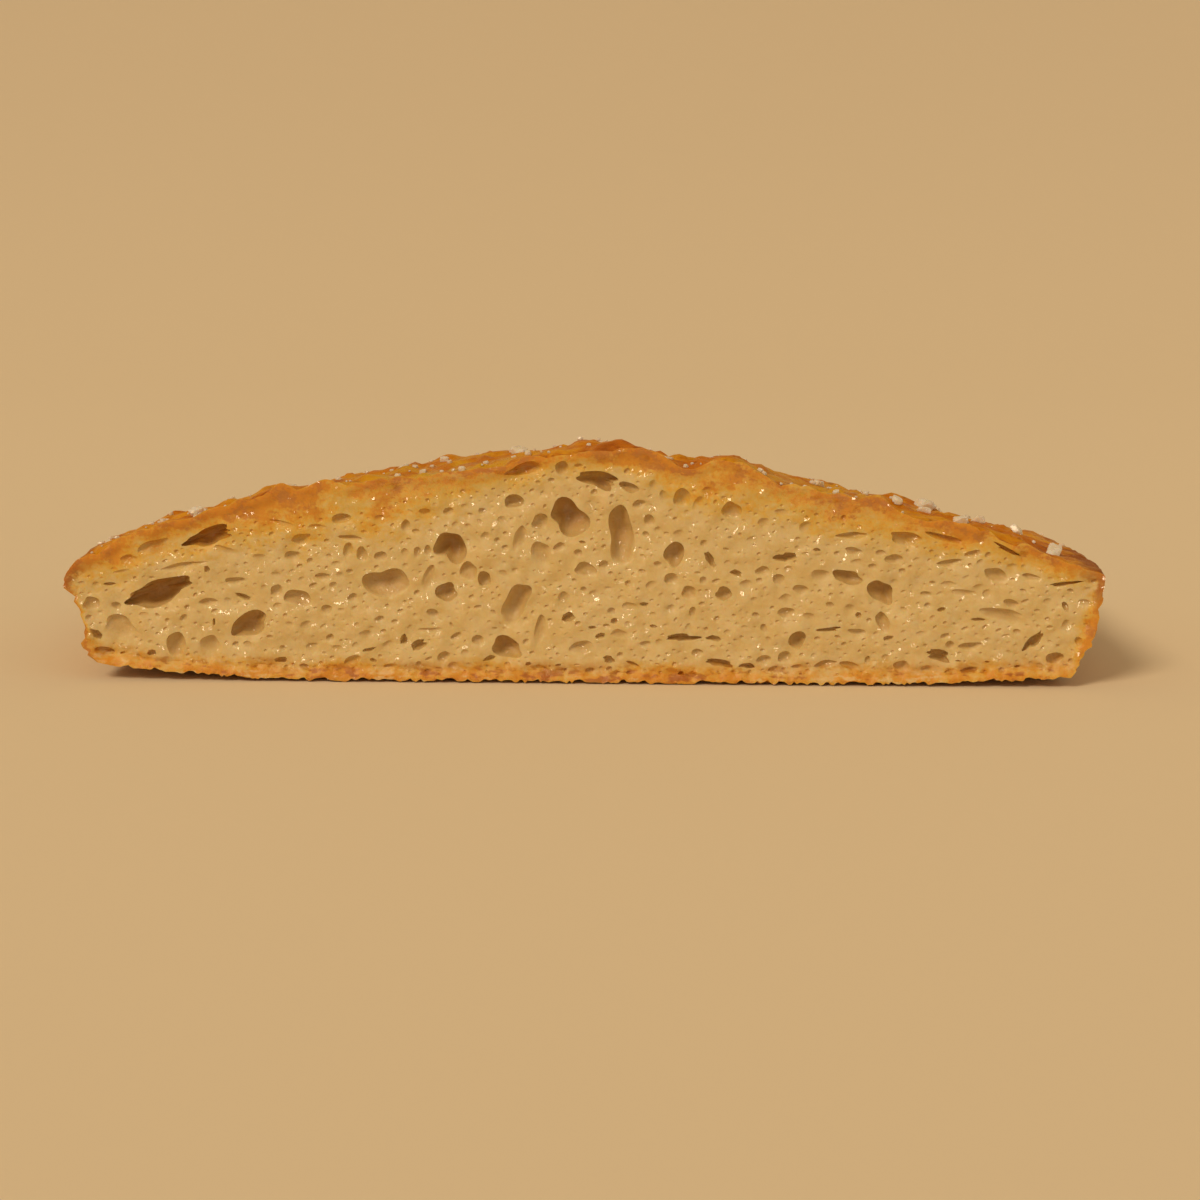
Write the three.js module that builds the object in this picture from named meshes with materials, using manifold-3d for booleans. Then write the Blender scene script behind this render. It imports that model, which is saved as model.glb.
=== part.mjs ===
// Half of a small focaccia with coarse salt on its crust. The loaf was baked in a shallow flared tin and
// cut in two along its length. It stands on its base crust, with the cut face towards -Y, the baked side
// wall at the back and along both ends, and a low dome on top that is highest at the cut.
//
// Millimetres, +Z up. The origin is the centre of the base, midway along the length and the depth.
// Each salt crystal is a loose piece that only rests on the crust, so it is a mesh of its own.
import * as THREE from "three";
import { mergeVertices } from "three/addons/utils/BufferGeometryUtils.js";
import Module from "manifold-3d";

const wasm = await Module();
wasm.setup();

// --- Driving dimensions -----------------------------------------------------------------------------

const LENGTH = 120; // along X, rim to rim
const DEPTH = 47; // along Y, from the cut face to the back rim
const BACK_RIM = 10.8; // height of the rim where the crust meets the back wall
const CORNER_RADIUS = 13; // of the two back corners, seen from above
const FLARE = 3.1; // how far the base lies inside the rim
const FLARE_CURVE = 1.7; // 1 is a straight wall, more is a wall that is steeper near its rim
const BASE_LIFT = { left: 2.2, right: 1.4 }; // how far the base curls up at its two ends
const BASE_FLAT = 0.45; // share of the half length over which the base is flat
const DOME_FALL = 1.8; // from the crown the dome falls as this power of the way to the back
const CORNER_DROP = 1.6; // how much lower the rim is at the two back corners

// Height of the cut face along its length, as [X, Z].
const CROWN_LINE = [
  [-60, 12.6],
  [-55.3, 14.9],
  [-50, 17.6],
  [-44, 19.4],
  [-36, 21.6],
  [-28, 23.3],
  [-20, 25.0],
  [-8, 26.6],
  [3, 27.0],
  [12, 26.0],
  [18, 25.7],
  [25, 24.0],
  [33, 21.5],
  [41, 19.2],
  [49, 17.0],
  [56, 14.6],
  [60, 13.6],
];

// Shallow hollows in the top crust, where the dough was pressed and oil gathered.
const HOLLOWS = [
  { x: -17, depth: 3, across: 9, along: 7, deep: 1.5 },
  { x: 26, depth: 3, across: 8, along: 6, deep: 1.2 },
  { x: -38, depth: 22, across: 7, along: 6, deep: 0.9 },
  { x: -6, depth: 25, across: 9, along: 6, deep: 1.3 },
  { x: 18, depth: 21, across: 8, along: 6, deep: 1.0 },
  { x: 43, depth: 19, across: 7, along: 6, deep: 0.8 },
];

// The largest bubbles that the knife opened in the cut face, as ellipsoids centred on the face.
const BUBBLES = [
  { x: -49.0, z: 10.5, wide: 9.4, high: 2.4, deep: 3.4, tilt: 13 },
  { x: -53.6, z: 6.2, wide: 4.1, high: 2.7, deep: 1.3, tilt: -20 },
  { x: -47.2, z: 4.4, wide: 2.3, high: 3.0, deep: 1.5, tilt: 0 },
  { x: -38.5, z: 6.7, wide: 4.9, high: 2.6, deep: 2.5, tilt: 25 },
  { x: -42.8, z: 17.5, wide: 6.8, high: 2.0, deep: 2.0, tilt: 14 },
  { x: -32.6, z: 9.8, wide: 3.1, high: 2.4, deep: 1.3, tilt: 0 },
  { x: -22.3, z: 11.7, wide: 5.4, high: 3.6, deep: 1.9, tilt: 0 },
  { x: -14.7, z: 15.9, wide: 3.6, high: 3.9, deep: 2.6, tilt: 0 },
  { x: -15.5, z: 10.6, wide: 2.7, high: 2.1, deep: 1.4, tilt: 0 },
  { x: -7.4, z: 9.1, wide: 3.9, high: 4.9, deep: 1.9, tilt: -25 },
  { x: -8.5, z: 4.1, wide: 4.0, high: 2.4, deep: 2.2, tilt: -8 },
  { x: -7.6, z: 21.2, wide: 2.3, high: 1.7, deep: 1.6, tilt: 15 },
  { x: -1.0, z: 19.5, wide: 4.9, high: 3.5, deep: 2.8, tilt: -8 },
  { x: -4.5, z: 15.2, wide: 2.8, high: 2.7, deep: 1.3, tilt: 0 },
  { x: 0.6, z: 13.3, wide: 2.8, high: 1.6, deep: 1.1, tilt: 0 },
  { x: 4.7, z: 17.1, wide: 3.4, high: 7.0, deep: 3.2, tilt: 6 },
  { x: 3.2, z: 23.7, wide: 6.8, high: 2.1, deep: 2.2, tilt: -20 },
  { x: 10.9, z: 15.5, wide: 2.5, high: 3.1, deep: 2.4, tilt: 0 },
  { x: 14.8, z: 14.8, wide: 1.4, high: 1.9, deep: 2.0, tilt: 25 },
  { x: 16.4, z: 10.8, wide: 2.0, high: 1.8, deep: 1.3, tilt: -20 },
  { x: 17.3, z: 20.4, wide: 2.1, high: 2.2, deep: 1.3, tilt: 0 },
  { x: 23.5, z: 15.0, wide: 2.5, high: 1.3, deep: 1.6, tilt: 0 },
  { x: 30.5, z: 12.6, wide: 3.4, high: 1.8, deep: 2.2, tilt: 0 },
  { x: 34.5, z: 11.0, wide: 2.8, high: 3.2, deep: 2.4, tilt: -30 },
  { x: 35.1, z: 7.3, wide: 3.2, high: 3.0, deep: 1.3, tilt: 0 },
  { x: 25.1, z: 5.1, wide: 2.2, high: 2.3, deep: 1.6, tilt: 0 },
  { x: 41.4, z: 3.4, wide: 3.2, high: 1.9, deep: 1.8, tilt: 0 },
  { x: 47.8, z: 13.0, wide: 3.1, high: 1.8, deep: 1.3, tilt: 0 },
  { x: 48.7, z: 8.6, wide: 5.6, high: 2.1, deep: 1.1, tilt: 0 },
  { x: 52.2, z: 5.3, wide: 2.9, high: 1.6, deep: 2.2, tilt: 45 },
];

const SALT = {
  gap: 0.3, // between a crystal and the crust under it
  smallest: 1.1, // edge of the smallest crystal
  largest: 2.3, // edge of the largest
  chipped: 0.22, // most that a corner is chipped back, as a share of the half size
  sown: 22, // crystals that lie scattered over the back of the crust
};

// Crystals that lie near the cut edge, as [X, distance behind the cut face, edge length].
const SALT_BY_THE_CUT = [
  [-50.2, 5.2, 1.3],
  [-45.0, 6.0, 2.2],
  [-41.6, 9.6, 1.4],
  [-34.2, 7.4, 1.7],
  [-21.2, 9.8, 2.0],
  [-18.6, 6.4, 1.4],
  [-16.4, 10.6, 1.2],
  [-7.2, 8.2, 1.9],
  [5.4, 5.2, 1.3],
  [27.4, 9.0, 1.3],
  [36.4, 5.8, 1.4],
  [39.6, 7.6, 1.3],
  [43.6, 5.6, 1.8],
  [46.2, 9.4, 1.3],
  [50.2, 6.4, 1.6],
  [54.2, 5.0, 1.9],
];

// --- Shape of the loaf ------------------------------------------------------------------------------

const HALF = LENGTH / 2;

// A smooth line through [x, z] points, with each point's slope taken from its two neighbours.
function smoothLine(points, x) {
  const last = points.length - 1;
  let i = 0;
  while (i < last - 1 && x > points[i + 1][0]) i += 1;
  const slope = (k) => {
    const [x0, z0] = points[Math.max(k - 1, 0)];
    const [x1, z1] = points[Math.min(k + 1, last)];
    return (z1 - z0) / (x1 - x0);
  };
  const [[xa, za], [xb, zb]] = [points[i], points[i + 1]];
  const span = xb - xa;
  const t = THREE.MathUtils.clamp((x - xa) / span, 0, 1);
  const rise = (zb - za) * (3 - 2 * t) * t * t;
  const leaving = slope(i) * span * t * (1 - t) ** 2;
  const arriving = slope(i + 1) * span * t * t * (1 - t);
  return za + rise + leaving - arriving;
}

// Height of the top crust. a runs from -1 to 1 along the length, b from 0 at the cut to 1 at the back.
function topHeight(a, b) {
  const dome = 1 - b ** DOME_FALL;
  const drop = CORNER_DROP * Math.abs(a) ** 3 * b * b;
  const crown = smoothLine(CROWN_LINE, a * HALF);
  const pressed = HOLLOWS.reduce((sum, h) => {
    const u = (a * HALF - h.x) / h.across;
    const v = (b * DEPTH - h.depth) / h.along;
    return sum + h.deep * Math.exp(-u * u - v * v);
  }, 0);
  const edge = Math.max(Math.abs(a), b);
  return BACK_RIM + (crown - BACK_RIM) * dome - pressed * (1 - edge ** 6) - drop;
}

// Height of the base, which is flat except where it curls up towards its ends.
function baseHeight(a) {
  const lift = a < 0 ? BASE_LIFT.left : BASE_LIFT.right;
  const t = Math.max(Math.abs(a) - BASE_FLAT, 0) / (1 - BASE_FLAT);
  return lift * t * t;
}

// How far a back corner's arc lies inside the square corner, as a share of the way from the centre.
function cornerShare(x, y, halfLength, depth) {
  const [cx, cy] = [halfLength - CORNER_RADIUS, depth - CORNER_RADIUS];
  const reach = Math.max(Math.abs(x) / halfLength, y / depth);
  if (reach === 0) return 1;
  const [hx, hy] = [Math.abs(x) / reach, y / reach];
  const along = hx * cx + hy * cy;
  const square = hx * hx + hy * hy;
  const inside = along * along - square * (cx * cx + cy * cy - CORNER_RADIUS ** 2);
  if (inside < 0) return 1;
  const share = (along + Math.sqrt(inside)) / square;
  const onArc = share * hx > cx && share * hy > cy;
  return onArc ? 1 - (1 - share) * reach ** 6 : 1;
}

// The point of the loaf at a along the length, b from the cut to the back and c from base to top.
function loafPoint(a, b, c) {
  const inset = FLARE * (1 - c) ** FLARE_CURVE;
  const [halfLength, depth] = [HALF - inset, DEPTH - inset];
  const share = cornerShare(a * halfLength, b * depth, halfLength, depth);
  const base = baseHeight(a);
  return new THREE.Vector3(
    a * halfLength * share,
    b * depth * share - DEPTH / 2,
    base + (topHeight(a, b) - base) * c,
  );
}

// --- Solids -----------------------------------------------------------------------------------------

// A closed geometry as a solid that can be cut.
function solidOf(geometry) {
  const bare = geometry.clone();
  bare.deleteAttribute("normal");
  bare.deleteAttribute("uv");
  const merged = mergeVertices(bare, 1e-4);
  return new wasm.Manifold(
    new wasm.Mesh({
      numProp: 3,
      vertProperties: merged.attributes.position.array,
      triVerts: new Uint32Array(merged.index.array),
    }),
  );
}

// A cut solid as a geometry again.
function geometryOf(solid) {
  const mesh = solid.getMesh();
  const geometry = new THREE.BufferGeometry();
  geometry.setAttribute("position", new THREE.BufferAttribute(mesh.vertProperties, 3));
  geometry.setIndex(new THREE.BufferAttribute(mesh.triVerts, 1));
  geometry.computeVertexNormals();
  return geometry;
}

// The uncut half loaf: a box with every vertex carried to its place on the loaf.
function loafGeometry() {
  const steps = { along: 56, across: 20, up: 6 };
  const box = new THREE.BoxGeometry(2, 1, 1, steps.along, steps.across, steps.up);
  const corner = box.attributes.position;
  for (let i = 0; i < corner.count; i += 1) {
    const { x, y, z } = loafPoint(corner.getX(i), corner.getY(i) + 0.5, corner.getZ(i) + 0.5);
    corner.setXYZ(i, x, y, z);
  }
  return box;
}

// One bubble of the cut face, as an ellipsoid.
function bubbleGeometry({ x, z, wide, high, deep, tilt }) {
  const ball = new THREE.SphereGeometry(1, 10, 6);
  ball.rotateX(Math.PI / 2);
  ball.scale(wide / 2, deep, high / 2);
  ball.rotateY(THREE.MathUtils.degToRad(-tilt));
  ball.translate(x, -DEPTH / 2, z);
  return ball;
}

function makeLoaf() {
  const bubbles = BUBBLES.map((bubble) => solidOf(bubbleGeometry(bubble)));
  const cut = bubbles.reduce((loaf, bubble) => loaf.subtract(bubble), solidOf(loafGeometry()));
  const material = new THREE.MeshStandardMaterial({
    color: 0xc8883a,
    roughness: 0.55,
    metalness: 0,
  });
  const loaf = new THREE.Mesh(geometryOf(cut), material);
  loaf.name = "focaccia_half";
  return loaf;
}

// --- Salt -------------------------------------------------------------------------------------------

// Even random numbers from 0 to 1, the same ones each time.
function randomFrom(seed) {
  let state = seed;
  return () => {
    state = (state * 1664525 + 1013904223) % 4294967296;
    return state / 4294967296;
  };
}

// Scattered crystals as [X, distance behind the cut face, edge], each clear of the others.
function sowSalt(random, placed) {
  const sown = [];
  while (sown.length < SALT.sown) {
    const x = (random() * 2 - 1) * (HALF - CORNER_RADIUS);
    const behind = (0.28 + 0.56 * random()) * DEPTH;
    const edge = SALT.smallest + (SALT.largest - SALT.smallest) * random() ** 2;
    const clear = ([px, py, other]) => Math.hypot(px - x, py - behind) > 1.1 * (other + edge);
    if (placed.every(clear) && sown.every(clear)) sown.push([x, behind, edge]);
  }
  return sown;
}

// The point of the crust at x along the length and this far behind the cut face.
function crustPoint(x, behind) {
  return loafPoint(x / HALF, behind / DEPTH, 1);
}

// The outward normal of the crust at such a point.
function crustNormal(x, behind) {
  const step = 0.5;
  const along = crustPoint(x + step, behind).sub(crustPoint(x - step, behind));
  const across = crustPoint(x, behind + step).sub(crustPoint(x, behind - step));
  return along.cross(across).normalize();
}

// A block whose eight corners are each chipped back a little, by their own amount.
function chippedBlock(wide, long, high, random) {
  const block = new THREE.BoxGeometry(wide, long, high);
  const kept = () => 1 - SALT.chipped * random();
  const chips = Array.from({ length: 8 }, () => [kept(), kept(), kept()]);
  const corner = block.attributes.position;
  for (let i = 0; i < corner.count; i += 1) {
    const [x, y, z] = [corner.getX(i), corner.getY(i), corner.getZ(i)];
    const [cx, cy, cz] = chips[(x > 0 ? 4 : 0) + (y > 0 ? 2 : 0) + (z > 0 ? 1 : 0)];
    corner.setXYZ(i, x * cx, y * cy, z * cz);
  }
  block.computeVertexNormals();
  return block;
}

// One crystal, lying along the crust and clear of it by the gap.
function makeCrystal([x, behind, edge], index, random) {
  const [wide, long, high] = [edge, edge * (0.7 + 0.3 * random()), edge * (0.5 + 0.3 * random())];
  const material = new THREE.MeshStandardMaterial({
    color: 0xf2ece0,
    roughness: 0.25,
    metalness: 0,
  });
  const crystal = new THREE.Mesh(chippedBlock(wide, long, high, random), material);
  const normal = crustNormal(x, behind);
  crystal.quaternion.setFromUnitVectors(new THREE.Vector3(0, 0, 1), normal);
  crystal.rotateZ(random() * Math.PI);
  crystal.position.copy(crustPoint(x, behind)).addScaledVector(normal, SALT.gap + high / 2);
  crystal.name = `salt_crystal_${String(index + 1).padStart(2, "0")}`;
  return crystal;
}

// --- Assembly ---------------------------------------------------------------------------------------

const random = randomFrom(7);
const crystals = [...SALT_BY_THE_CUT, ...sowSalt(random, SALT_BY_THE_CUT)];

const focaccia = new THREE.Group();
focaccia.name = "focaccia";
focaccia.add(makeLoaf());
crystals.forEach((place, index) => focaccia.add(makeCrystal(place, index, random)));

export default focaccia;
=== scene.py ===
"""Half of a small salted focaccia, baked in a flared tin and cut in two along its length.

The half loaf stands on its base crust with the cut face towards -Y. Its skin is four sheets sewn
along their edges: the domed top crust, the baked wall, the base crust and the cut face of open
crumb. A sheet is a surface of two parameters. The bubbles that open on it are holes in it, each
closed behind by a bowl. Coarse salt crystals and finer grains lie on the top crust.

Lengths inside this file are millimetres; a mesh is scaled to metres as it is made. A place on the
loaf is (x, behind, z): x along the length, behind counted from the cut face, z up from the base.
"""

from __future__ import annotations

import logging
import math
import sys
from collections.abc import Callable, Iterable, Sequence
from dataclasses import dataclass, field, replace
from enum import Enum
from functools import reduce
from typing import NamedTuple

import bpy
import numpy as np
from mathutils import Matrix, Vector
from mathutils.geometry import delaunay_2d_cdt

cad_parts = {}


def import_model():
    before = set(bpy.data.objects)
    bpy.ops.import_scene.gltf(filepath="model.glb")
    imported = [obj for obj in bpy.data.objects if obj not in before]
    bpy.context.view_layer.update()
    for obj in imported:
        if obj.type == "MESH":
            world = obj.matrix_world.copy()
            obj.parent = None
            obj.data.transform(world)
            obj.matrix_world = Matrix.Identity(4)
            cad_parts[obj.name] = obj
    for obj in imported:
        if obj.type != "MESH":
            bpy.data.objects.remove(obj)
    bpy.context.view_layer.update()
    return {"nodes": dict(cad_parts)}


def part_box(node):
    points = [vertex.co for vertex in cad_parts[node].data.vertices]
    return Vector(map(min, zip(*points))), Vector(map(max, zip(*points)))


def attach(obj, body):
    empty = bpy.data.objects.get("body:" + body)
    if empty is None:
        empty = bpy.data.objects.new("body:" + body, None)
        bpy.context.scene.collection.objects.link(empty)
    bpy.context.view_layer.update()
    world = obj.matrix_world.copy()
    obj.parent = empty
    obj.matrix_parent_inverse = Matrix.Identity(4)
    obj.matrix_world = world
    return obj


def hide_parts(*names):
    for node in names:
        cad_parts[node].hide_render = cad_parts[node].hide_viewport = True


LOG = logging.getLogger("focaccia")

METRES = 0.001  # one millimetre in metres
TURN = 2 * math.pi
CRISP_SIDE = math.radians(118)  # the side of a bubble's rim that hangs over its hollow
SHADE_DEPTH = 1.5  # depth at which the painted shade in a hollow has mostly deepened
LEAST_SPOKES, MOST_SPOKES, TRIAL_SPOKES = 7, 60, 28  # points round a rim, and round one on trial
SPOKES_PER_RING, MOST_RINGS = 7, 7  # rings of a bowl
TORN_CREASE = math.radians(52)  # folds of the skin that are sharper than this show as an edge
FACET_CREASE = math.radians(24)  # likewise for salt

Array = np.ndarray
Colour = tuple[float, float, float]


# --- Numbers that vary ------------------------------------------------------------------------------


def lattice(cell: Array, seed: int) -> Array:
    """A repeatable random number from -1 to 1 for each cell of a three-way lattice.

    Args:
        cell: Whole-number cells, as (n, 3).
        seed: Which of the lattices to read.

    Returns:
        One number for each cell, as (n,).
    """
    mixed = cell @ np.array([374761393, 668265263, 1440662683]) + seed * 974711
    mixed = mixed & 0xFFFFFFFF
    mixed = ((mixed ^ (mixed >> 13)) * 1274126177) & 0xFFFFFFFF
    mixed = ((mixed ^ (mixed >> 15)) * 461845907) & 0xFFFFFFFF
    return (mixed ^ (mixed >> 16)) / 0x7FFFFFFF - 1.0


def swell(points: Array, size: float | Sequence[float], seed: int) -> Array:
    """Smooth lumps: the eight lattice numbers round each point, blended by a cubic fade.

    Args:
        points: Places in millimetres, as (n, 3) or (n, 2).
        size: Width of a lump, or its width each way.
        seed: Which pattern of lumps.

    Returns:
        A height from -1 to 1 for each point.
    """
    flat = points.shape[1] == 2
    placed = np.column_stack([points, np.zeros(len(points))]) if flat else points
    scaled = placed / (np.append(size, 1.0) if flat and np.ndim(size) else np.asarray(size))
    cell = np.floor(scaled).astype(np.int64)
    part = scaled - cell
    fade = part * part * (3 - 2 * part)
    total = np.zeros(len(points))
    for corner in np.ndindex(2, 2, 2):
        share = np.prod(np.where(corner, fade, 1 - fade), axis=1)
        total += share * lattice(cell + corner, seed)
    return total


@dataclass(frozen=True)
class Lumps:
    """One layer of unevenness: its height, the width of a lump or its width each way, and its pattern."""

    height: float
    size: float | tuple[float, ...]
    seed: int


def layered(layers: Iterable[Lumps], points: Array) -> Array:
    """Several layers of unevenness together, at points."""
    return sum(layer.height * swell(points, layer.size, layer.seed) for layer in layers)


def ramp(value: Array, low: float, high: float) -> Array:
    """0 below low, 1 above high and a smooth S between them."""
    t = np.clip((value - low) / (high - low), 0.0, 1.0)
    return t * t * (3 - 2 * t)


def smooth_line(points: Sequence[tuple[float, float]], x: Array) -> Array:
    """A smooth line through points: a cubic between each two, sloped by their neighbours.

    Args:
        points: The line's (x, height) points, in order of x.
        x: Where to read the line.

    Returns:
        The line's height at each x.
    """
    known = np.asarray(points, float)
    px, pz = known[:, 0], known[:, 1]
    ahead, behind = np.minimum(np.arange(len(px)) + 1, len(px) - 1), np.maximum(np.arange(len(px)) - 1, 0)
    slope = (pz[ahead] - pz[behind]) / (px[ahead] - px[behind])
    i = np.clip(np.searchsorted(px, x, side="right") - 1, 0, len(px) - 2)
    span = px[i + 1] - px[i]
    t = np.clip((x - px[i]) / span, 0.0, 1.0)
    rise = (pz[i + 1] - pz[i]) * (3 - 2 * t) * t * t
    return pz[i] + rise + slope[i] * span * t * (1 - t) ** 2 - slope[i + 1] * span * t * t * (1 - t)


def nearest_distance(points: Array, others: Array, share: int = 512) -> Array:
    """How far each point is from the nearest of some others, worked out a share at a time."""
    found = [
        np.sqrt(((points[k : k + share, None, :] - others[None]) ** 2).sum(-1).min(1))
        for k in range(0, len(points), share)
    ]
    return np.concatenate(found) if found else np.zeros(0)


def inside(polygon: Array, points: Array) -> Array:
    """Whether each point is inside a closed polygon, by how many sides a ray to its right crosses."""
    ax, ay = polygon[:, 0], polygon[:, 1]
    bx, by = np.roll(ax, -1), np.roll(ay, -1)
    px, py = points[:, :1], points[:, 1:2]
    spans = (ay > py) != (by > py)
    rise = np.where(by == ay, 1.0, by - ay)
    crosses = spans & (px < (bx - ax) * (py - ay) / rise + ax)
    return crosses.sum(1) % 2 == 1


# --- Bubbles ----------------------------------------------------------------------------------------


class Bowl(NamedTuple):
    """How a bubble runs in behind its rim; the first three are shares of its half size."""

    depth: float
    undercut: float
    lean: float
    softness: float  # how gently its lower wall leaves the face
    raggedness: float  # how far its rim strays from an ellipse


class Cavity(Enum):
    """The four kinds of bubble."""

    DISH = Bowl(0.48, 0.0, 0.3, 1.1, 0.11)
    ROUND = Bowl(0.8, 0.05, 0.24, 0.75, 0.11)
    DEEP = Bowl(1.25, 0.12, 0.22, 0.55, 0.12)
    TORN = Bowl(1.5, 0.1, 0.08, 0.1, 0.26)


def soft_share(angle: Array) -> Array:
    """0 on the crisp side of a bubble, 1 on its soft side."""
    return 0.5 - 0.5 * np.cos(angle - CRISP_SIDE)


@dataclass(frozen=True)
class Bubble:
    """One bubble that opens on a sheet.

    Its rim is an ellipse whose radius varies by a few waves round it. Its bowl goes in as the ellipse
    shrinks by a quarter cosine while the depth grows by a quarter sine. An undercut swells the bowl
    behind the rim, and a lean carries its deep end up the sheet, so the lower side slopes out gently.
    """

    u: float
    v: float
    wide: float
    high: float
    cavity: Cavity = Cavity.ROUND
    tilt: float = 0.0
    seed: int = 0
    shrunk: float = 1.0

    def spokes(self, step: float) -> int:
        """How many points its rim takes at about one point each step."""
        radius = (self.wide + self.high) * self.shrunk / 4
        return int(np.clip(round(TURN * radius / step), LEAST_SPOKES, MOST_SPOKES))

    @property
    def half(self) -> Array:
        """Half its width and half its height."""
        return np.array([self.wide, self.high]) * self.shrunk / 2

    def reach(self) -> float:
        """The farthest that its rim may be from its centre."""
        return 0.5 * max(self.wide, self.high) * self.shrunk * (1 + 1.6 * self.cavity.value.raggedness)

    def waviness(self, angle: Array) -> Array:
        """How much longer than the ellipse's its radius is at each angle; a torn rim has finer waves."""
        limit, finest = (1.0, 8) if self.cavity is Cavity.TORN else (1.7, 5)
        ragged = self.cavity.value.raggedness * min(limit, 0.35 + 0.35 * self.wide)
        rng = np.random.default_rng(self.seed + 17)
        waves = np.arange(2, finest + 1)
        size = ragged * rng.uniform(0.4, 1.0, len(waves)) / (waves - 1) ** 0.8
        phase = rng.uniform(0, TURN, len(waves))
        return 1 + (size * np.cos(np.outer(angle, waves) + phase)).sum(1)

    def spread(self, across: Array, up: Array) -> Array:
        """Places on the sheet, from shares of the half width and half height."""
        turn = math.radians(self.tilt)
        x, y = across * self.wide * self.shrunk / 2, up * self.high * self.shrunk / 2
        return np.column_stack(
            [
                self.u + x * math.cos(turn) - y * math.sin(turn),
                self.v + x * math.sin(turn) + y * math.cos(turn),
            ]
        )

    def rim(self, spokes: int) -> Array:
        """Its rim on the sheet, anticlockwise, as (spokes, 2)."""
        angle = np.arange(spokes) * TURN / spokes
        radius = self.waviness(angle)
        return self.spread(radius * np.cos(angle), radius * np.sin(angle))

    def shares(self, points: Array, margin: float = 0.0) -> tuple[Array, Array]:
        """Where points are from its centre, across and up, as shares of its half size and a margin."""
        turn = math.radians(self.tilt)
        dx, dy = points[:, 0] - self.u, points[:, 1] - self.v
        half = self.half + margin
        x = (dx * math.cos(turn) + dy * math.sin(turn)) / half[0]
        y = (dy * math.cos(turn) - dx * math.sin(turn)) / half[1]
        return x, y

    def holds(self, points: Array, margin: float) -> Array:
        """Whether each point is inside its rim, or within the margin outside it."""
        x, y = self.shares(points, margin)
        return np.hypot(x, y) < self.waviness(np.arctan2(y, x))

    def sag(self, points: Array) -> Array:
        """How far the face round it gives way towards its soft side, as a bell across its rim."""
        away = np.hypot(*self.shares(points))
        outward, inward = np.maximum(away, 1.0) - 1.0, np.minimum(away, 1.0)
        lower = soft_share(np.arctan2(points[:, 1] - self.v, points[:, 0] - self.u))
        give = 0.2 * min(math.sqrt(self.half.prod()), 2.0)
        return give * lower**1.5 * inward * np.exp(-((outward / 0.55) ** 2))

    def bowl(self, spokes: int, rings: int) -> tuple[Array, Array, Array]:
        """Its bowl, ring by ring from just inside the rim to its floor.

        Args:
            spokes: Points round each ring.
            rings: Rings between the rim and the floor.

        Returns:
            Places on the sheet (rings * spokes + 1, 2), depths, and how shaded each place is.
        """
        depth, undercut, lean, soft, ragged = self.cavity.value
        angle = (np.arange(spokes) * TURN / spokes)[None]
        turn = (np.arange(1, rings + 1) / (rings + 1) * math.pi / 2)[:, None]
        dent = 1 + 0.5 * ragged * np.cos(3 * angle + 5 * turn + self.seed) * np.sin(2 * turn)
        radius = np.cos(turn) * (1 + undercut * np.sin(2 * turn)) * dent * self.waviness(angle[0])
        share = np.sin(turn) ** (1 + soft * soft_share(angle + math.radians(self.tilt)))
        across = radius * np.cos(angle) - 0.3 * lean * np.sin(turn)
        up = radius * np.sin(angle) + lean * np.sin(turn)
        places = self.spread(across.ravel(), up.ravel())
        floor = self.spread(np.full(1, -0.3 * lean), np.full(1, lean))
        narrow, broad = sorted((self.wide, self.high))
        scale = depth * narrow**0.65 * broad**0.35 * self.shrunk / 2
        depths = np.append(share.ravel(), 1.0) * scale
        own = 1 - np.exp(-depths / (0.2 + 0.22 * narrow * self.shrunk))
        return np.vstack([places, floor]), depths, 0.5 * own + 0.5 * (1 - np.exp(-depths / SHADE_DEPTH))


# --- Sheets -----------------------------------------------------------------------------------------


@dataclass
class SheetMesh:
    """A sheet with its bubbles cut: places, depth behind the sheet, painted shade inside the bubbles,
    triangles.
    """

    places: Array
    depth: Array
    hollow: Array
    triangles: Array


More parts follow.
